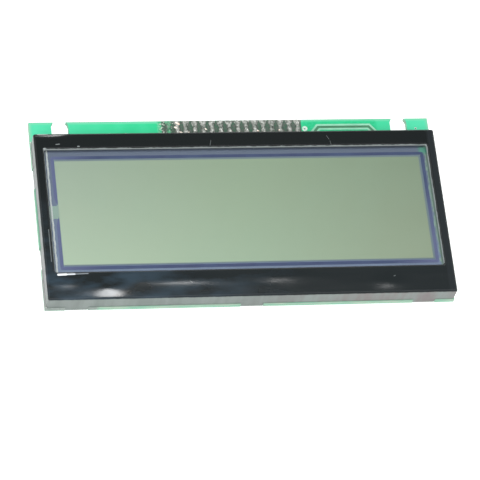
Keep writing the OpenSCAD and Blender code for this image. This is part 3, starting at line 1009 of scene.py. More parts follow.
@dataclass
class SolderRow:
    """Sixteen tinned pads along the board's upper edge, each heaped with solder by hand.

    Attributes:
        count: Number of pads.
        pitch: Distance from pad to pad.
        inset: Distance from the board's edge to the row of holes.
        edge_gap: Bare laminate between a pad and the board's edge.
        length: Length of a pad.
        edge_width: Width of a pad at the board's edge.
        waist_width: Width of a pad at its narrowest.
        waist_at: Share of the way from the edge to the tip at which it is narrowest.
        tip_width: Width of a pad at its inner end.
        round_from: Share of the way at which that end starts to round off.
        film: Height of the solder at a pad's sides.
        bead: Height of the solder along a pad.
        heap: Height of the solder over the hole.
        tail: Height of the solder behind the board.
        tail_tip: Radius of that solder at its end.
        hole: Radius of the hole.
        flux_reach: How far green flux is smeared over the row from its left end.
        crumb_count: Number of small crumbs at that end.
        bead_lift: Height of the larger beads' middles over the board.
        rows: Number of steps along a pad.
        columns: Number of steps across a pad.
    """

    count: int = 16
    pitch: float = 2.54 * MM
    inset: float = 2.6 * MM
    edge_gap: float = 0.1 * MM
    length: float = 4.4 * MM
    edge_width: float = 2.3 * MM
    waist_width: float = 1.2 * MM
    waist_at: float = 0.45
    tip_width: float = 1.75 * MM
    round_from: float = 0.86
    film: float = 0.03 * MM
    bead: float = 0.32 * MM
    heap: float = 0.7 * MM
    tail: float = 0.55 * MM
    tail_tip: float = 0.12 * MM
    hole: float = 0.5 * MM
    flux_reach: float = 2.1 * MM
    crumb_count: int = 30
    bead_lift: float = 0.25 * MM
    rows: int = 36
    columns: int = 12

    def build(self) -> None:
        """Builds the soldered pads, the crumbs at the row's left end and the back's tails."""
        low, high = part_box("front_pads")
        board_low, board_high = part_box("pcb")
        middle = (low.x + high.x) / 2
        draw = random.Random(16)
        mesh = bmesh.new()
        for i in range(self.count):
            x = middle + (i - (self.count - 1) / 2) * self.pitch
            self.pad(mesh, x, board_high.y - self.edge_gap, board_high.z, draw)
            self.barrel(mesh, Vector((x, board_high.y - self.inset, board_low.z)), board_high.z, draw)
        metal = self.finish(low.x + self.flux_reach)
        new_piece("solder_row", mesh, [metal], ["front_pads", "solder_joints"], smooth_deg=70)
        self.crumbs(Vector((low.x, board_high.y, board_high.z)), draw)

    @staticmethod
    def finish(flux_end: float) -> Material:
        """Hand-worked solder with grey flux left in its folds.

        Args:
            flux_end: X up to which green flux is smeared over it.

        Returns:
            The material.
        """
        graph = Graph("hand_solder")
        grain = graph.noise(0.5 * MM, 3)
        folds = graph.between(graph.noise(0.9 * MM, 4), 0.36, 0.62)
        metal = graph.blend(folds, paint(84, 94, 86), paint(166, 168, 163))
        smear = graph.between(graph.noise(0.6 * MM, 3), 0.42, 0.58, (0.2, 0.95))
        left = graph.between(graph.x, flux_end + 0.5 * MM, flux_end - 0.5 * MM)
        return graph.principled({
            "Base Color": graph.blend(graph.sum("MULTIPLY", left, smear), metal, paint(58, 140, 100)),
            "Metallic": 0.55,
            "Roughness": graph.between(grain, 0.3, 0.7, (0.22, 0.5)),
            "Normal": graph.relief(grain, 0.12 * MM),
        })

    def width(self, share: float) -> float:
        """Width of the solder at a share of the way from the board's edge to the tip."""
        if share < self.waist_at:
            pull = 0.5 - 0.5 * math.cos(math.pi * share / self.waist_at)
            return self.edge_width + (self.waist_width - self.edge_width) * pull
        pull = 0.5 - 0.5 * math.cos(math.pi * (share - self.waist_at) / (1 - self.waist_at))
        past = max(0.0, (share - self.round_from) / (1 - self.round_from))
        rounding = math.sqrt(max(0.0, 1 - past ** 2))
        return (self.waist_width + (self.tip_width - self.waist_width) * pull) * max(rounding, 0.12)

    def height(self, share: float, across: float, pile: float) -> float:
        """Height of the solder above the board.

        Args:
            share: Share of the way from the board's edge to the tip.
            across: Place across the pad, from -1 to 1.
            pile: How high this pad's solder is heaped, as a share of the usual.

        Returns:
            The height.
        """
        crown = math.sqrt(max(0.0, 1 - across * across))
        reach = (share - (self.inset - self.edge_gap) / self.length) * self.length
        away = math.hypot(reach, across * self.waist_width / 2)
        cone = self.heap * pile / (1 + (away / (0.55 * self.hole)) ** 2)
        lump = self.bead * (0.55 + 0.9 * share ** 3)
        return crown * (lump + cone) + self.film

    def pad(self, mesh: Mesh, x: float, edge: float, floor: float, draw: random.Random) -> None:
        """Adds one pad with its solder.

        Args:
            mesh: The mesh to add to.
            x: The pad's middle line.
            edge: Y of the end at the board's edge.
            floor: Height of the board's front.
            draw: Source of the small differences.
        """
        pile = draw.uniform(0.5, 1.15)
        lean = draw.uniform(-0.12, 0.12) * MM
        top, base = [], []
        for r in range(self.rows + 1):
            share = r / self.rows
            half = self.width(share) / 2 * draw.uniform(0.95, 1.05)
            y = edge - share * self.length
            line = []
            for c in range(self.columns + 1):
                across = 2 * c / self.columns - 1
                lift = self.height(share, across, pile)
                place = Vector((x + lean * share + across * half, y, floor + lift))
                rough = noise.noise(place / (0.45 * MM)) * 0.35 + noise.noise(place / (0.2 * MM)) * 0.2
                place.z += rough * (lift - self.film)
                line.append(mesh.verts.new(place))
            top.append(line)
            base.append([mesh.verts.new((v.co.x, v.co.y, floor)) for v in (line[0], line[-1])])
        for r in range(self.rows):
            for c in range(self.columns):
                mesh.faces.new((top[r][c], top[r + 1][c], top[r + 1][c + 1], top[r][c + 1]))
            for side, column in ((0, 0), (1, self.columns)):
                mesh.faces.new((top[r][column], base[r][side], base[r + 1][side], top[r + 1][column]))
            mesh.faces.new((base[r][0], base[r][1], base[r + 1][1], base[r + 1][0]))
        for r in (0, self.rows):
            mesh.faces.new([base[r][0], *top[r], base[r][1]])

    def barrel(self, mesh: Mesh, foot: Vector, front: float, draw: random.Random) -> None:
        """Adds the solder in one hole and its tail behind the board.

        Args:
            mesh: The mesh to add to.
            foot: The hole's middle on the board's back.
            front: Height of the board's front.
            draw: Source of the small differences.
        """
        seed = draw.uniform(0, 50)
        tail = self.tail * draw.uniform(0.75, 1.0)
        rim = 1.35 * self.hole
        flare = rim - self.tail_tip
        profile = [(self.tail_tip + flare * (k / 6) ** 2, -tail * (1 - k / 6)) for k in range(6)]
        profile += [(rim, -0.05 * MM), (self.hole, -0.05 * MM), (self.hole, front - foot.z)]

        def lumpy(place: Vector) -> Vector:
            """Wanders below the board only, so that the hole stays filled."""
            return wander(place, 0.5 * MM, 0.06 * MM, seed) if place.z < foot.z - 0.06 * MM else place

        turned(mesh, profile, foot, 20, lumpy)

    def crumbs(self, corner: Vector, draw: random.Random) -> None:
        """Adds the crumbs of solder at the row's left end, most of them small, and larger beads along the
        row whose near-white colour is a painted highlight.

        Args:
            corner: The left end of the row on the board's upper edge.
            draw: Source of their places.
        """
        small, large = bmesh.new(), bmesh.new()
        for _ in range(self.crumb_count):
            x, y = corner.x + draw.uniform(-1.6, 2.4) * MM, corner.y - draw.uniform(0.3, 4.2) * MM
            radius, turn = draw.uniform(0.08, 0.2) * MM, draw.uniform(0, math.pi)
            self.crumb(small, Vector((x, y, corner.z)), radius, turn, 1.6)
        # Larger beads along the row, near-white in colour as painted highlights at its glints.
        for x, y, radius, turn_deg, stretch in (
            (3.6, 1.0, 0.3, -32, 2.6), (3.2, 2.5, 0.34, -24, 2.6), (4.4, 4.0, 0.26, -20, 2.2),
            (6.6, 4.1, 0.22, 60, 1.8), (11.6, 2.9, 0.24, -35, 2.6), (19.0, 3.6, 0.2, 20, 2.0),
            (27.0, 3.7, 0.22, -15, 2.2), (33.5, 3.5, 0.2, 10, 1.8),
        ):
            foot = Vector((corner.x + x * MM, corner.y - y * MM, corner.z + self.bead_lift))
            self.crumb(large, foot, radius * MM, math.radians(turn_deg), stretch)
        grey = Mottled("solder_crumbs", paint(206, 210, 200), paint(120, 150, 132), 0.5 * MM, metallic=0.4)
        new_piece("solder_crumbs", small, [grey.build()], smooth_deg=80)
        cream = Mottled(
            "splash_and_glint_beads", paint(244, 236, 224), paint(232, 206, 190), 0.9 * MM, rough=(0.15, 0.3), coat=0.6)
        new_piece("splash_and_glint_beads", large, [cream.build()], smooth_deg=80)

    @staticmethod
    def crumb(mesh: Mesh, foot: Vector, radius: float, turn: float, stretch: float) -> None:
        """Adds one low bead: a crumb of solder, or a near-white bead whose colour is a painted highlight.

        Args:
            mesh: The mesh to add to.
            foot: Its middle, on what it lies on.
            radius: Its radius across.
            turn: Angle of its long axis from X.
            stretch: How much longer it is than wide.
        """
        profile = [(radius * math.cos(a), radius * 0.8 * math.sin(a)) for a in (0.0, 0.4, 0.8, 1.2, 1.5)]
        spin = Matrix.Rotation(turn, 3, "Z")
        spin = spin @ Matrix.Diagonal((stretch, 1.0, 1.0)) @ spin.transposed()
        turned(mesh, profile, foot, 14, lambda place: foot + spin @ (place - foot))


@dataclass
class CellStack:
    """The glass cell behind the bezel's window, from the polarizer down to the reflector.

    Attributes:
        layer_gap: Air left between two layers, so that each has a face of its own.
        bevel: Ground corner along a sheet's upper edge.
        seal_width: Width of the seal.
        seal_step: Length of one step of the seal's mesh.
        seal_wave: Size of the seal's wander in width.
        taper: Number of steps over which each of its ends tapers.
        shift: How far the seal sits to the right of the cell's middle.
        left_pull: How much further in the seal's left side sits.
        bottom_drop: How much further out the seal's lower side sits.
        port: Height of the filling gap in the seal's left side.
        port_rise: How far above the middle that gap sits.
        field_low: Lowest corner of the grey-green field, from the seal's inner corner.
        field_high: Highest corner of the field, from the seal's inner corner.
    """

    layer_gap: float = 0.01 * MM
    bevel: float = 0.08 * MM
    seal_width: float = 0.8 * MM
    seal_step: float = 0.6 * MM
    seal_wave: float = 5 * MM
    taper: int = 4
    shift: float = 0.3 * MM
    left_pull: float = 0.25 * MM
    bottom_drop: float = 0.33 * MM
    port: float = 3.8 * MM
    port_rise: float = 0.5 * MM
    field_low: Point = mm(0.1, 0.66)
    field_high: Point = mm(-0.7, -0.65)

    def build(self) -> None:
        """Builds the layers and dresses the solids that stay."""
        self.sheets()
        self.crystal()
        film = Mottled("rear_film", paint(126, 140, 156), paint(116, 130, 148), rough=(0.5, 0.65))
        dress(film, "rear_polarizer")
        foil = Mottled("reflector_foil", paint(190, 192, 188), paint(176, 180, 178), metallic=0.8)
        dress(foil, "reflector")
        dress(Mottled("spacer_moulding", paint(226, 226, 220), paint(216, 217, 210)), "spacer_frame")
        dress(FilmMargin(self.window_middle()), "rear_glass")

    def sheets(self) -> None:
        """The two clear sheets, each with ground upper corners."""
        inside = Clear("sheet_inside", (1.0, 1.0, 1.0)).build()
        for name, node, slot, finish in (
            ("polarizer_film", "front_polarizer", "polarizer", Clear(
                "polarizer_gloss", (0.98, 0.985, 0.98), ior=1.42, wave_size=15 * MM, wave_depth=0.04 * MM)),
            ("front_glass_plate", "front_glass", "glass", Clear("glass_face", (0.985, 0.995, 0.99))),
        ):
            low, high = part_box(node)
            low, high = low + Vector((0, 0, self.layer_gap)), high - Vector((0, 0, self.layer_gap))
            mesh = bmesh.new()
            rings = []
            for shrink, z in ((0.0, low.z), (0.0, high.z - self.bevel), (self.bevel, high.z)):
                (x0, x1), (y0, y1) = ((low[k] + shrink, high[k] - shrink) for k in (0, 1))
                corners = ((x0, y0), (x1, y0), (x1, y1), (x0, y1))
                rings.append([mesh.verts.new((x, y, z)) for x, y in corners])
            skin(mesh, rings, 1)
            mesh.faces.new(rings[0][::-1]).material_index = 1
            mesh.faces.new(rings[-1])
            new_piece(name, mesh, [finish.build(), inside], [node], smooth_deg=1)

    def crystal(self) -> None:
        """The liquid crystal, the seal around it and the plug in its filling gap."""
        seal_low, seal_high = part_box("seal_ring")
        high = Vector((seal_high.x - self.seal_width, seal_high.y - self.seal_width))
        low = Vector((self.inner_left(), seal_low.y + self.seal_width - self.bottom_drop))
        margin = FilmMargin(self.window_middle())
        field_low, field_high = low + Vector(self.field_low), high + Vector(self.field_high)
        field = Field(tuple(field_low), tuple(field_high), margin.centre[0] + margin.left_at)
        dress(field, "liquid_crystal")
        self.seal(low, high, seal_low.z, seal_high.z)
        glue = paint(192, 210, 202)
        dress(FilmMargin(self.window_middle(), "end_seal_glue", glue, glue), "end_seal")

    @staticmethod
    def window_middle() -> Point:
        """X and Y of the window's middle, which the spacer is centred on."""
        low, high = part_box("spacer_frame")
        return ((low.x + high.x) / 2, (low.y + high.y) / 2)

    def inner_left(self) -> float:
        """X of the seal's inner left edge, which lies as far in as its right edge does."""
        middle = self.window_middle()[0] + self.shift
        return 2 * middle - (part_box("seal_ring")[1].x - self.seal_width) + self.left_pull

    def seal(self, low: Vector, high: Vector, floor: float, top: float) -> None:
        """Adds the printed seal, whose edges wander and whose ends at the gap taper.

        Args:
            low: Lowest inner corner.
            high: Highest inner corner.
            floor: Height of its lower face.
            top: Height of its upper face.
        """
        half = self.seal_width / 2
        x0, y0, x1, y1 = low.x - half, low.y - half, high.x + half, high.y + half
        gap_low, gap_high = ((y0 + y1) / 2 + self.port_rise + side * self.port / 2 for side in (-1, 1))
        corners = [(x0, gap_high), (x0, y1), (x1, y1), (x1, y0), (x0, y0), (x0, gap_low)]
        line = []
        for (ax, ay), (bx, by) in zip(corners, corners[1:]):
            steps = max(2, int(math.hypot(bx - ax, by - ay) / self.seal_step))
            for k in range(steps):
                line.append(Vector((ax + (bx - ax) * k / steps, ay + (by - ay) * k / steps)))
        line.append(Vector(corners[-1]))
        z0, z1 = floor + 0.2 * self.layer_gap, top + 0.2 * self.layer_gap
        last = len(line) - 1
        mesh = bmesh.new()
        rings = []
        for i, here in enumerate(line):
            along = (line[min(i + 1, last)] - line[max(i - 1, 0)]).normalized()
            across = Vector((-along.y, along.x))
            taper = min(1.0, min(i, last - i) / self.taper)
            swell = 1.2 + 0.12 * noise.noise(Vector((here.x, here.y, 0)) / self.seal_wave)
            left = here + across * half * swell * (1.7 * taper - 0.7)
            right = here - across * half * swell * min(1.0, 0.7 + 1.2 * taper)
            ring = ((left, z0), (right, z0), (right, z1), (left, z1))
            rings.append([mesh.verts.new((*place, z)) for place, z in ring])
        skin(mesh, rings)
        mesh.faces.new(rings[0])
        mesh.faces.new(rings[-1][::-1])
        new_piece("seal_bead", mesh, [SealFinish().build()], ["seal_ring"], smooth_deg=30)


@dataclass
class Board:
    """The circuit board with what is printed and plated on it.

    Attributes:
        track: Width of a looped track with the lacquer that swells over it.
        rise: Height of a track at its edges.
        crown: Further height of a track along its middle.
        loop_inset: Distance from the board's edge to the outer loop.
        loop_gap: Distance from the outer loop to the inner one.
        loop_run: Length of the outer loop's top run.
        slant: Width and height of the slants at its ends.
        loop_start: Distance along X from the large land to the outer loop.
        wall_gap: Distance from the bezel's wall to the loops' ends.
        groove_rise: Height of the etched groove's floor, which lies over the lacquer.
        large_land: Place of the large land, from the solder row's end and the board's edge.
        large_radius: Its radius.
        small_lands: Places of the small lands, from the board's upper right corner.
        small_radius: Their radius.
        via_hole: Radius of the hole in a land.
        segments: Number of faces around a land.
    """

    track: float = 0.54 * MM
    rise: float = 0.03 * MM
    crown: float = 0.03 * MM
    loop_inset: float = 1.9 * MM
    loop_gap: float = 1.35 * MM
    loop_run: float = 15.7 * MM
    slant: Point = mm(2.4, 2.9)
    loop_start: float = 1.35 * MM
    wall_gap: float = 0.4 * MM
    groove_rise: float = 0.012 * MM
    large_land: Point = mm(1.1, -3.05)
    large_radius: float = 0.8 * MM
    small_lands: tuple[Point, ...] = (mm(-3.9, -3.4), mm(-94.7, -4.2), mm(-90.0, -4.2))
    small_radius: float = 0.35 * MM
    via_hole: float = 0.2 * MM
    segments: int = 32

    def build(self) -> None:
        """Dresses the board's solids and builds its looped tracks."""
        low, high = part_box("pcb")
        row_low, row_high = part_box("front_pads")
        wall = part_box("bezel")[1].y
        margin = 0.15 * MM
        row_end = row_low.x - 1.3 * MM
        corner = (low.x - 1 * MM, low.y - 1 * MM)
        flux = Patch((row_end, wall), (row_high.x + margin, high.y + margin),
                     paint(76, 83, 77), paint(53, 84, 67))
        smear = Patch((row_low.x - 2.2 * MM, wall + 0.4 * MM), (row_end, high.y),
                      paint(44, 150, 104), paint(120, 180, 148), 0.8 * MM)
        around_loops = Patch((row_high.x + 0.6 * MM, wall), (row_high.x + 22.5 * MM, high.y - 0.7 * MM),
                             paint(22, 162, 109), paint(38, 171, 122), 1.0 * MM)
        # A pale patch on the front and a greyer cut edge at the board's lower left corner.
        pale_corner = Patch(corner, (low.x + 9 * MM, low.y + 9.5 * MM),
                         paint(206, 214, 208), paint(188, 200, 194), 2.0 * MM)
        grey_corner = Patch(corner, (low.x + 15 * MM, low.y + 9.5 * MM),
                        paint(132, 140, 136), paint(120, 130, 125), 1.0 * MM)
        patches = (flux, smear, around_loops, pale_corner)
        dress(SolderMask((high.x, high.y), (low.z + high.z) / 2, patches, grey_corner), "pcb")
        self.tracks(high, row_high.x, wall)
        tinned = Mottled("tinned_copper", paint(206, 206, 202), paint(176, 180, 178), 1.5 * MM, metallic=0.7)
        dress(tinned, "ground_strips", "rear_pads", "chip_pads")
        masked = Mottled(
            "masked_rear_copper", paint(84, 176, 128), paint(72, 162, 116), 3 * MM, rough=(0.25, 0.4))
        dress(masked, "rear_tracks")
        gold = Mottled("flash_gold", paint(226, 190, 110), paint(206, 168, 92), metallic=1.0)
        dress(gold, "contact_fingers")
        rubber = Mottled("contact_rubber", paint(196, 148, 150), paint(120, 80, 84), 1 * MM)
        dress(rubber, "upper_contact_strip", "lower_contact_strip")

    def tracks(self, corner: Vector, row_end: float, wall: float) -> None:
        """Adds the two looped tracks, the etched groove between them and the vias' lands.

        Args:
            corner: The board's upper right corner, on its front.
            row_end: X of the solder row's right end.
            wall: Y of the bezel's upper wall.
        """
        ring = Vector((row_end + self.large_land[0], corner.y + self.large_land[1], corner.z))
        start = ring.x + self.loop_start
        y = corner.y - self.loop_inset
        end = wall + self.wall_gap
        across, down = self.slant
        x = [start, start + across, start + across + self.loop_run, start + 2 * across + self.loop_run]
        outer = [(x[0], end), (x[0], y - down), (x[1], y), (x[2], y), (x[3], y - down), (x[3], end)]
        middle, inner = (ribbon(outer, gap)[:len(outer)] for gap in (self.loop_gap, 2 * self.loop_gap))
        mesh = bmesh.new()
        for line in (outer, inner):
            self.ridge(mesh, line, self.track, corner.z, self.rise, self.crown)
        lands = bmesh.new()
        self.land(lands, ring, self.large_radius)
        for dx, dy in self.small_lands:
            self.land(lands, Vector((corner.x + dx, corner.y + dy, corner.z)), self.small_radius)
        tin = Mottled("tinned_land", paint(196, 206, 200), paint(150, 190, 170), 0.6 * MM, metallic=0.3)
        new_piece("via_lands", lands, [tin.build()])
        lit = Mottled(
            "masked_copper", paint(128, 186, 158), paint(112, 174, 146), 2.5 * MM, rough=(0.25, 0.4))
        new_piece("looped_tracks", mesh, [lit.build()], ["front_tracks"])
        groove = bmesh.new()
        self.ridge(groove, middle, self.loop_gap - self.track - 0.1 * MM, corner.z, self.groove_rise, 0.0)
        dark = Mottled("etched_groove", paint(48, 108, 76), paint(40, 96, 66), 3 * MM, rough=(0.3, 0.45))
        new_piece("etched_groove", groove, [dark.build()])

    @staticmethod
    def ridge(
        mesh: Mesh, line: Sequence[Point], width: float, floor: float, rise: float, crown: float
    ) -> None:
        """Adds a low ridge along a line.

        Args:
            mesh: The mesh to add to.
            line: Its middle line.
            width: Its width.
            floor: Height of what it lies on.
            rise: Height of its edges.
            crown: Further height of its middle.
        """
        foot, top = ribbon(line, width), ribbon(line, 0.55 * width)
        edge, middle = floor + rise, floor + rise + crown
        rings = []
        for i in range(len(line)):
            right, left, near, far = foot[i], foot[-1 - i], top[i], top[-1 - i]
            ring = ((right, floor), (right, edge), (near, middle),
                    (far, middle), (left, edge), (left, floor))
            rings.append([mesh.verts.new((*place, z)) for place, z in ring])
        skin(mesh, rings)
        mesh.faces.new(rings[0])
        mesh.faces.new(rings[-1][::-1])

    def land(self, mesh: Mesh, foot: Vector, radius: float) -> None:
        """Adds the ring of copper around a via's hole.

        Args:
            mesh: The mesh to add to.
            foot: The via's middle on the board's front.
            radius: The ring's radius.
        """
        section = ((self.via_hole, 0.0), (self.via_hole, self.rise), (0.7 * radius, self.rise + self.crown),
                   (radius, self.rise), (radius, 0.0))
        washer(mesh, section, foot, self.segments)


@dataclass
class Chips:
    """What sits on the board's back: the epoxy domes and the chip parts.

    Attributes:
        rings: Number of rings in a dome's mesh.
        segments: Number of faces around a dome.
        edge_wander: How far a dome's rim wanders.
        ring_gap: Distance from a dome's rim to its printed ring.
        ring_width: Width of the printed ring.
        ring_segments: Number of faces around that ring.
        ink: Thickness of the print.
        steepness: Power by which a dome's height grows from its middle to its rim.
        ripple_size: Size of the ripples in its slope.
        ripple: Height of the ripples, as a share of the dome's.
    """

    rings: int = 14
    segments: int = 72
    edge_wander: float = 0.35 * MM
    ring_gap: float = 0.9 * MM
    ring_width: float = 0.25 * MM
    ring_segments: int = 96
    ink: float = 0.02 * MM
    steepness: float = 2.4
    ripple_size: float = 3.5 * MM
    ripple: float = 0.12

    def build(self) -> None:
        """Builds the domes and their printed rings, and dresses the chip parts."""
        epoxy = Mottled(
            "potting_epoxy", paint(30, 31, 32), paint(40, 41, 42), 3 * MM,
            grain_size=0.9 * MM, grain_depth=0.05 * MM, rough=(0.35, 0.6))
        finish = epoxy.build()
        mesh = bmesh.new()
        for seed, node in enumerate(("controller_dome", "left_driver_dome", "right_driver_dome")):
            low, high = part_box(node)
            self.dome(node.replace("dome", "blob"), node, low, high, finish, 7.0 * seed)
            self.ring(mesh, (low + high) / 2, (high.x - low.x) / 2 + self.ring_gap, high.z)
        white = Mottled("print_ink", paint(226, 230, 226), paint(206, 212, 206), 2 * MM, rough=(0.5, 0.7))
        new_piece("printed_rings", mesh, [white.build()])
        solder = Mottled(
            "chip_solder", paint(206, 208, 206), paint(168, 172, 172), 0.8 * MM,
            metallic=0.9, rough=(0.2, 0.4))
        dress(solder, "chip_terminals")
        glaze = Mottled("resistor_glaze", paint(28, 28, 32), paint(40, 40, 44), rough=(0.2, 0.35))
        dress(glaze, "bias_resistors", "oscillator_resistor")
        ceramic = Mottled("capacitor_ceramic", paint(186, 150, 108), paint(172, 138, 98))
        dress(ceramic, "bypass_capacitors")

    def dome(
        self, name: str, node: str, low: Vector, high: Vector, finish: Material, seed: float
    ) -> None:
        """Adds one dome, poured a little out of round, that rests at the solid's lowest point.

        Args:
            name: Name of the piece.
            node: The solid that it stands for.
            low: The solid's lowest corner.
            high: The solid's highest corner.
            finish: Its material.
            seed: Picks its own shape.
        """
        radius, height = (high.x - low.x) / 2, high.z - low.z
        foot = Vector(((low.x + high.x) / 2, (low.y + high.y) / 2, low.z))
        shares = [k / self.rings for k in range(1, self.rings + 1)]
        profile = [(0.02 * radius, 0.0)]
        profile += [(radius * share, height * share ** self.steepness) for share in shares]

        def poured(place: Vector) -> Vector:
            """Draws the rim in and out and ripples the slope, but keeps the lowest point."""
            arm = Vector((place.x - foot.x, place.y - foot.y, 0))
            share = min(1.0, arm.length / radius)
            angle = math.atan2(arm.y, arm.x)
            sway = noise.noise(Vector((math.cos(angle), math.sin(angle), seed)) * 1.3) - 0.45
            out = arm * (1 + sway * self.edge_wander / radius * share ** 2)
            wave = abs(noise.noise(place / self.ripple_size + Vector((seed, 0, 0))))
            lift = wave * self.ripple * height * share * (1 - share) * 4
            return Vector((foot.x + out.x, foot.y + out.y, min(place.z + lift, high.z)))

        mesh = bmesh.new()
        turned(mesh, profile, foot, self.segments, poured)
        new_piece(name, mesh, [finish], [node], smooth_deg=60)

    def ring(self, mesh: Mesh, centre: Vector, radius: float, back: float) -> None:
        """Adds a printed ring on the board's back.

        Args:
            mesh: The mesh to add to.
            centre: The ring's middle.
            radius: Its inner radius.
            back: Height of the board's back.
        """
        outer = radius + self.ring_width
        section = ((radius, 0.0), (outer, 0.0), (outer, -self.ink), (radius, -self.ink))
        washer(mesh, section, Vector((centre.x, centre.y, back)), self.ring_segments)


@dataclass
class Bezel:
    """The stamped bezel that clamps the cell to the board.

    Attributes:
        film_margin: How far the spacer reaches past the window along X and along Y.
    """

    film_margin: Point = mm(1.6, 1.1)

    def build(self) -> None:
        """Dresses the bezel."""
        dents = tuple(
            Dent(mm(x, y), mm(reach_x, reach_y), height)
            for x, y, reach_x, reach_y, height in (
                (-42.2, -25.9, 6.0, 2.5, 2.7), (-21, -24.0, 12, 1.6, 0.8), (8.5, -23.6, 6.5, 1.6, 0.88),
                (39.4, -26.0, 4.2, 1.8, 1.2), (-53, -24.2, 3.8, 1.6, 0.75), (-54.6, 24.0, 5.5, 1.2, 3.4),
            )
        )
        # White of the painted highlight along the face's upper left edge.
        pale = paint(225, 230, 230)
        scratches_and_glints = tuple(
            ScratchAndGlint(mm(x, y), mm(end_x, end_y), width * MM, depth, *tone)
            for x, y, end_x, end_y, width, depth, *tone in (
                (26.7, 21.4, 27.3, 20.2, 0.2, 0.3), (27.5, 19.7, 27.8, 18.1, 0.2, 0.25),
                (-7.9, 18.7, -7.5, 20.3, 0.22, 0.3), (-52.4, 19.6, -51.4, 19.7, 0.4, 0.5),
                (-46.2, 18.9, -45.8, 18.9, 0.45, 0.75), (-55.9, 18.2, -55.6, 18.2, 0.8, 1.0),
                (40.8, -24.2, 41.1, -24.1, 0.45, 0.25), (-18.2, -24.4, -17.6, -24.9, 0.3, 0.35),
                # Painted highlight: the glint below the window's lower left corner, in three strokes that
                # brighten to the left.
                (-50.6, -21.55, -46.8, -21.45, 0.4, 0.45, paint(176, 184, 190)),
                (-53.0, -21.6, -50.6, -21.55, 0.6, 0.85, paint(216, 222, 226)),
                (-55.2, -21.65, -53.0, -21.6, 0.8, 1.0, paint(236, 240, 242)),
                # Painted highlight: the white sliver along the face's upper left edge.
                (-57.4, 23.0, -54.6, 23.05, 0.3, 0.9, pale),
                (-54.6, 23.05, -51.6, 23.1, 0.18, 0.6, pale),
                # Painted highlight: the faint light line of the rolled lip along the window's left edge.
                (-56.75, -17.5, -56.75, -7.5, 0.3, 0.4),
            )
        )
        low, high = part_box("spacer_frame")
        inset = self.film_margin
        window = ((low.x + inset[0], low.y + inset[1]), (high.x - inset[0], high.y - inset[1]))
        dress(BezelCoat(dents, scratches_and_glints, window), "bezel")


# ---- Studio ----


@dataclass(frozen=True)
class SoftBox:
    """A square light that faces a point on the module.

    Attributes:
        name: Name of the light.
        towards: Direction from the module to the light.
        distance: How far away it is.
        size: Length of its sides.
        watts: Its power.
        tint: Colour of its light.
    """

    name: str
    towards: tuple[float, float, float]
    distance: float
    size: float
    watts: float
    tint: Colour = (1.0, 1.0, 1.0)

    def build(self) -> None:
        """Adds the light."""
        light = bpy.data.lights.new(self.name, "AREA")
        light.size = self.size
        light.energy = self.watts
        light.color = self.tint
        lamp = bpy.data.objects.new(self.name, light)
        back = Vector(self.towards).normalized()
        lamp.location = back * self.distance
        lamp.rotation_mode = "QUATERNION"
        lamp.rotation_quaternion = back.to_track_quat("Z", "Y")
        bpy.context.scene.collection.objects.link(lamp)


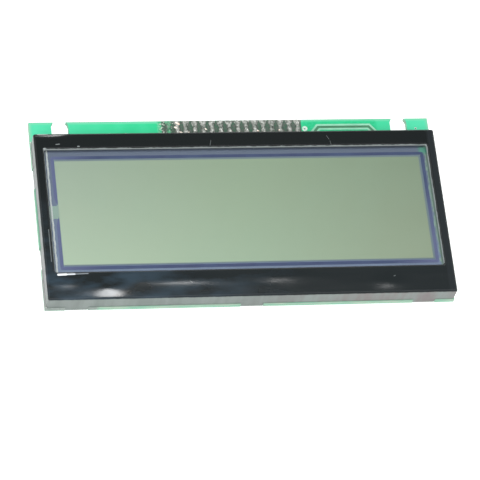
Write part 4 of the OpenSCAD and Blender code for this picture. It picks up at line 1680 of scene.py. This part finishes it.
@dataclass
class Studio:
    """The camera, the lights and a plain pale floor.

    Attributes:
        aim: Point at the middle of the picture.
        distance: Distance from the camera to that point.
        azimuth_deg: How far the camera stands to the right of the module's front.
        elevation_deg: How high it stands above the floor.
        roll_deg: How far it is turned about its own line of sight.
        lens_mm: Focal length.
        sensor_mm: Width of the sensor.
        clip: Nearest and furthest distance that the camera sees.
        floor_size: Length of the floor's sides.
        sky: Strength of the even light from all around.
    """

    aim: tuple[float, float, float] = (-2.52 * MM, -11.9 * MM, 8.4 * MM)
    distance: float = 912.2 * MM
    azimuth_deg: float = -24.61
    elevation_deg: float = 60.88
    roll_deg: float = 20.73
    lens_mm: float = 242.0
    sensor_mm: float = 36.0
    clip: Point = (0.05, 50.0)
    floor_size: float = 12.0
    sky: float = 0.5

    def camera(self) -> None:
        """Adds the camera and makes it the scene's own."""
        data = bpy.data.cameras.new("camera")
        data.lens = self.lens_mm
        data.sensor_width = self.sensor_mm
        data.clip_start, data.clip_end = self.clip
        azimuth, elevation = math.radians(self.azimuth_deg), math.radians(self.elevation_deg)
        back = Vector((
            math.sin(azimuth) * math.cos(elevation),
            -math.cos(azimuth) * math.cos(elevation),
            math.sin(elevation),
        ))
        rig = bpy.data.objects.new("camera", data)
        rig.rotation_mode = "QUATERNION"
        turn = Matrix.Rotation(math.radians(self.roll_deg), 3, back)
        rig.rotation_quaternion = (turn @ back.to_track_quat("Z", "Y").to_matrix()).to_quaternion()
        rig.location = Vector(self.aim) + back * self.distance
        bpy.context.scene.collection.objects.link(rig)
        bpy.context.scene.camera = rig

    def lights(self) -> None:
        """Adds the soft boxes and the even light from all around."""
        for box in (
            SoftBox("key_light", (-0.55, -0.35, 0.75), 1.3, 1.0, 20.0),
            SoftBox("far_light", (0.1, 0.95, 0.45), 1.4, 0.7, 6.0),
            SoftBox("side_light", (0.9, -0.3, 0.5), 1.4, 0.7, 6.0),
            SoftBox("window_light", (0.17, 0.22, 0.96), 1.3, 0.2, 4.0),
        ):
            box.build()
        world = bpy.data.worlds.new("pale_room")
        world.use_nodes = True
        air = world.node_tree.nodes["Background"]
        air.inputs["Color"].default_value = (1.0, 1.0, 1.0, 1.0)
        air.inputs["Strength"].default_value = self.sky
        bpy.context.scene.world = world
        bpy.context.scene.view_settings.view_transform = "Standard"

    def floor(self) -> None:
        """Adds the floor that the module lies on."""
        mesh = bmesh.new()
        half = self.floor_size / 2
        corners = ((-half, -half, 0), (half, -half, 0), (half, half, 0), (-half, half, 0))
        mesh.faces.new([mesh.verts.new(corner) for corner in corners])
        data = bpy.data.meshes.new("floor")
        mesh.to_mesh(data)
        mesh.free()
        pale = Mottled(
            "floor_paper", paint(246, 246, 246), paint(243, 244, 244), 0.2,
            grain_size=2 * MM, grain_depth=0.0, rough=(0.8, 0.9), specular=0.1, glow=0.45)
        data.materials.append(pale.build())
        sheet = bpy.data.objects.new("floor", data)
        bpy.context.scene.collection.objects.link(sheet)


def main() -> None:
    """Builds the studio and dresses the module."""
    logging.basicConfig(level=logging.INFO, format="%(name)s: %(message)s")
    studio = Studio()
    studio.camera()
    for part in (Board(), SolderRow(), Chips(), CellStack(), Bezel()):
        part.build()
        LOG.info("built %s", type(part).__name__)
    studio.lights()
    studio.floor()


if __name__ == "__main__":
    main()
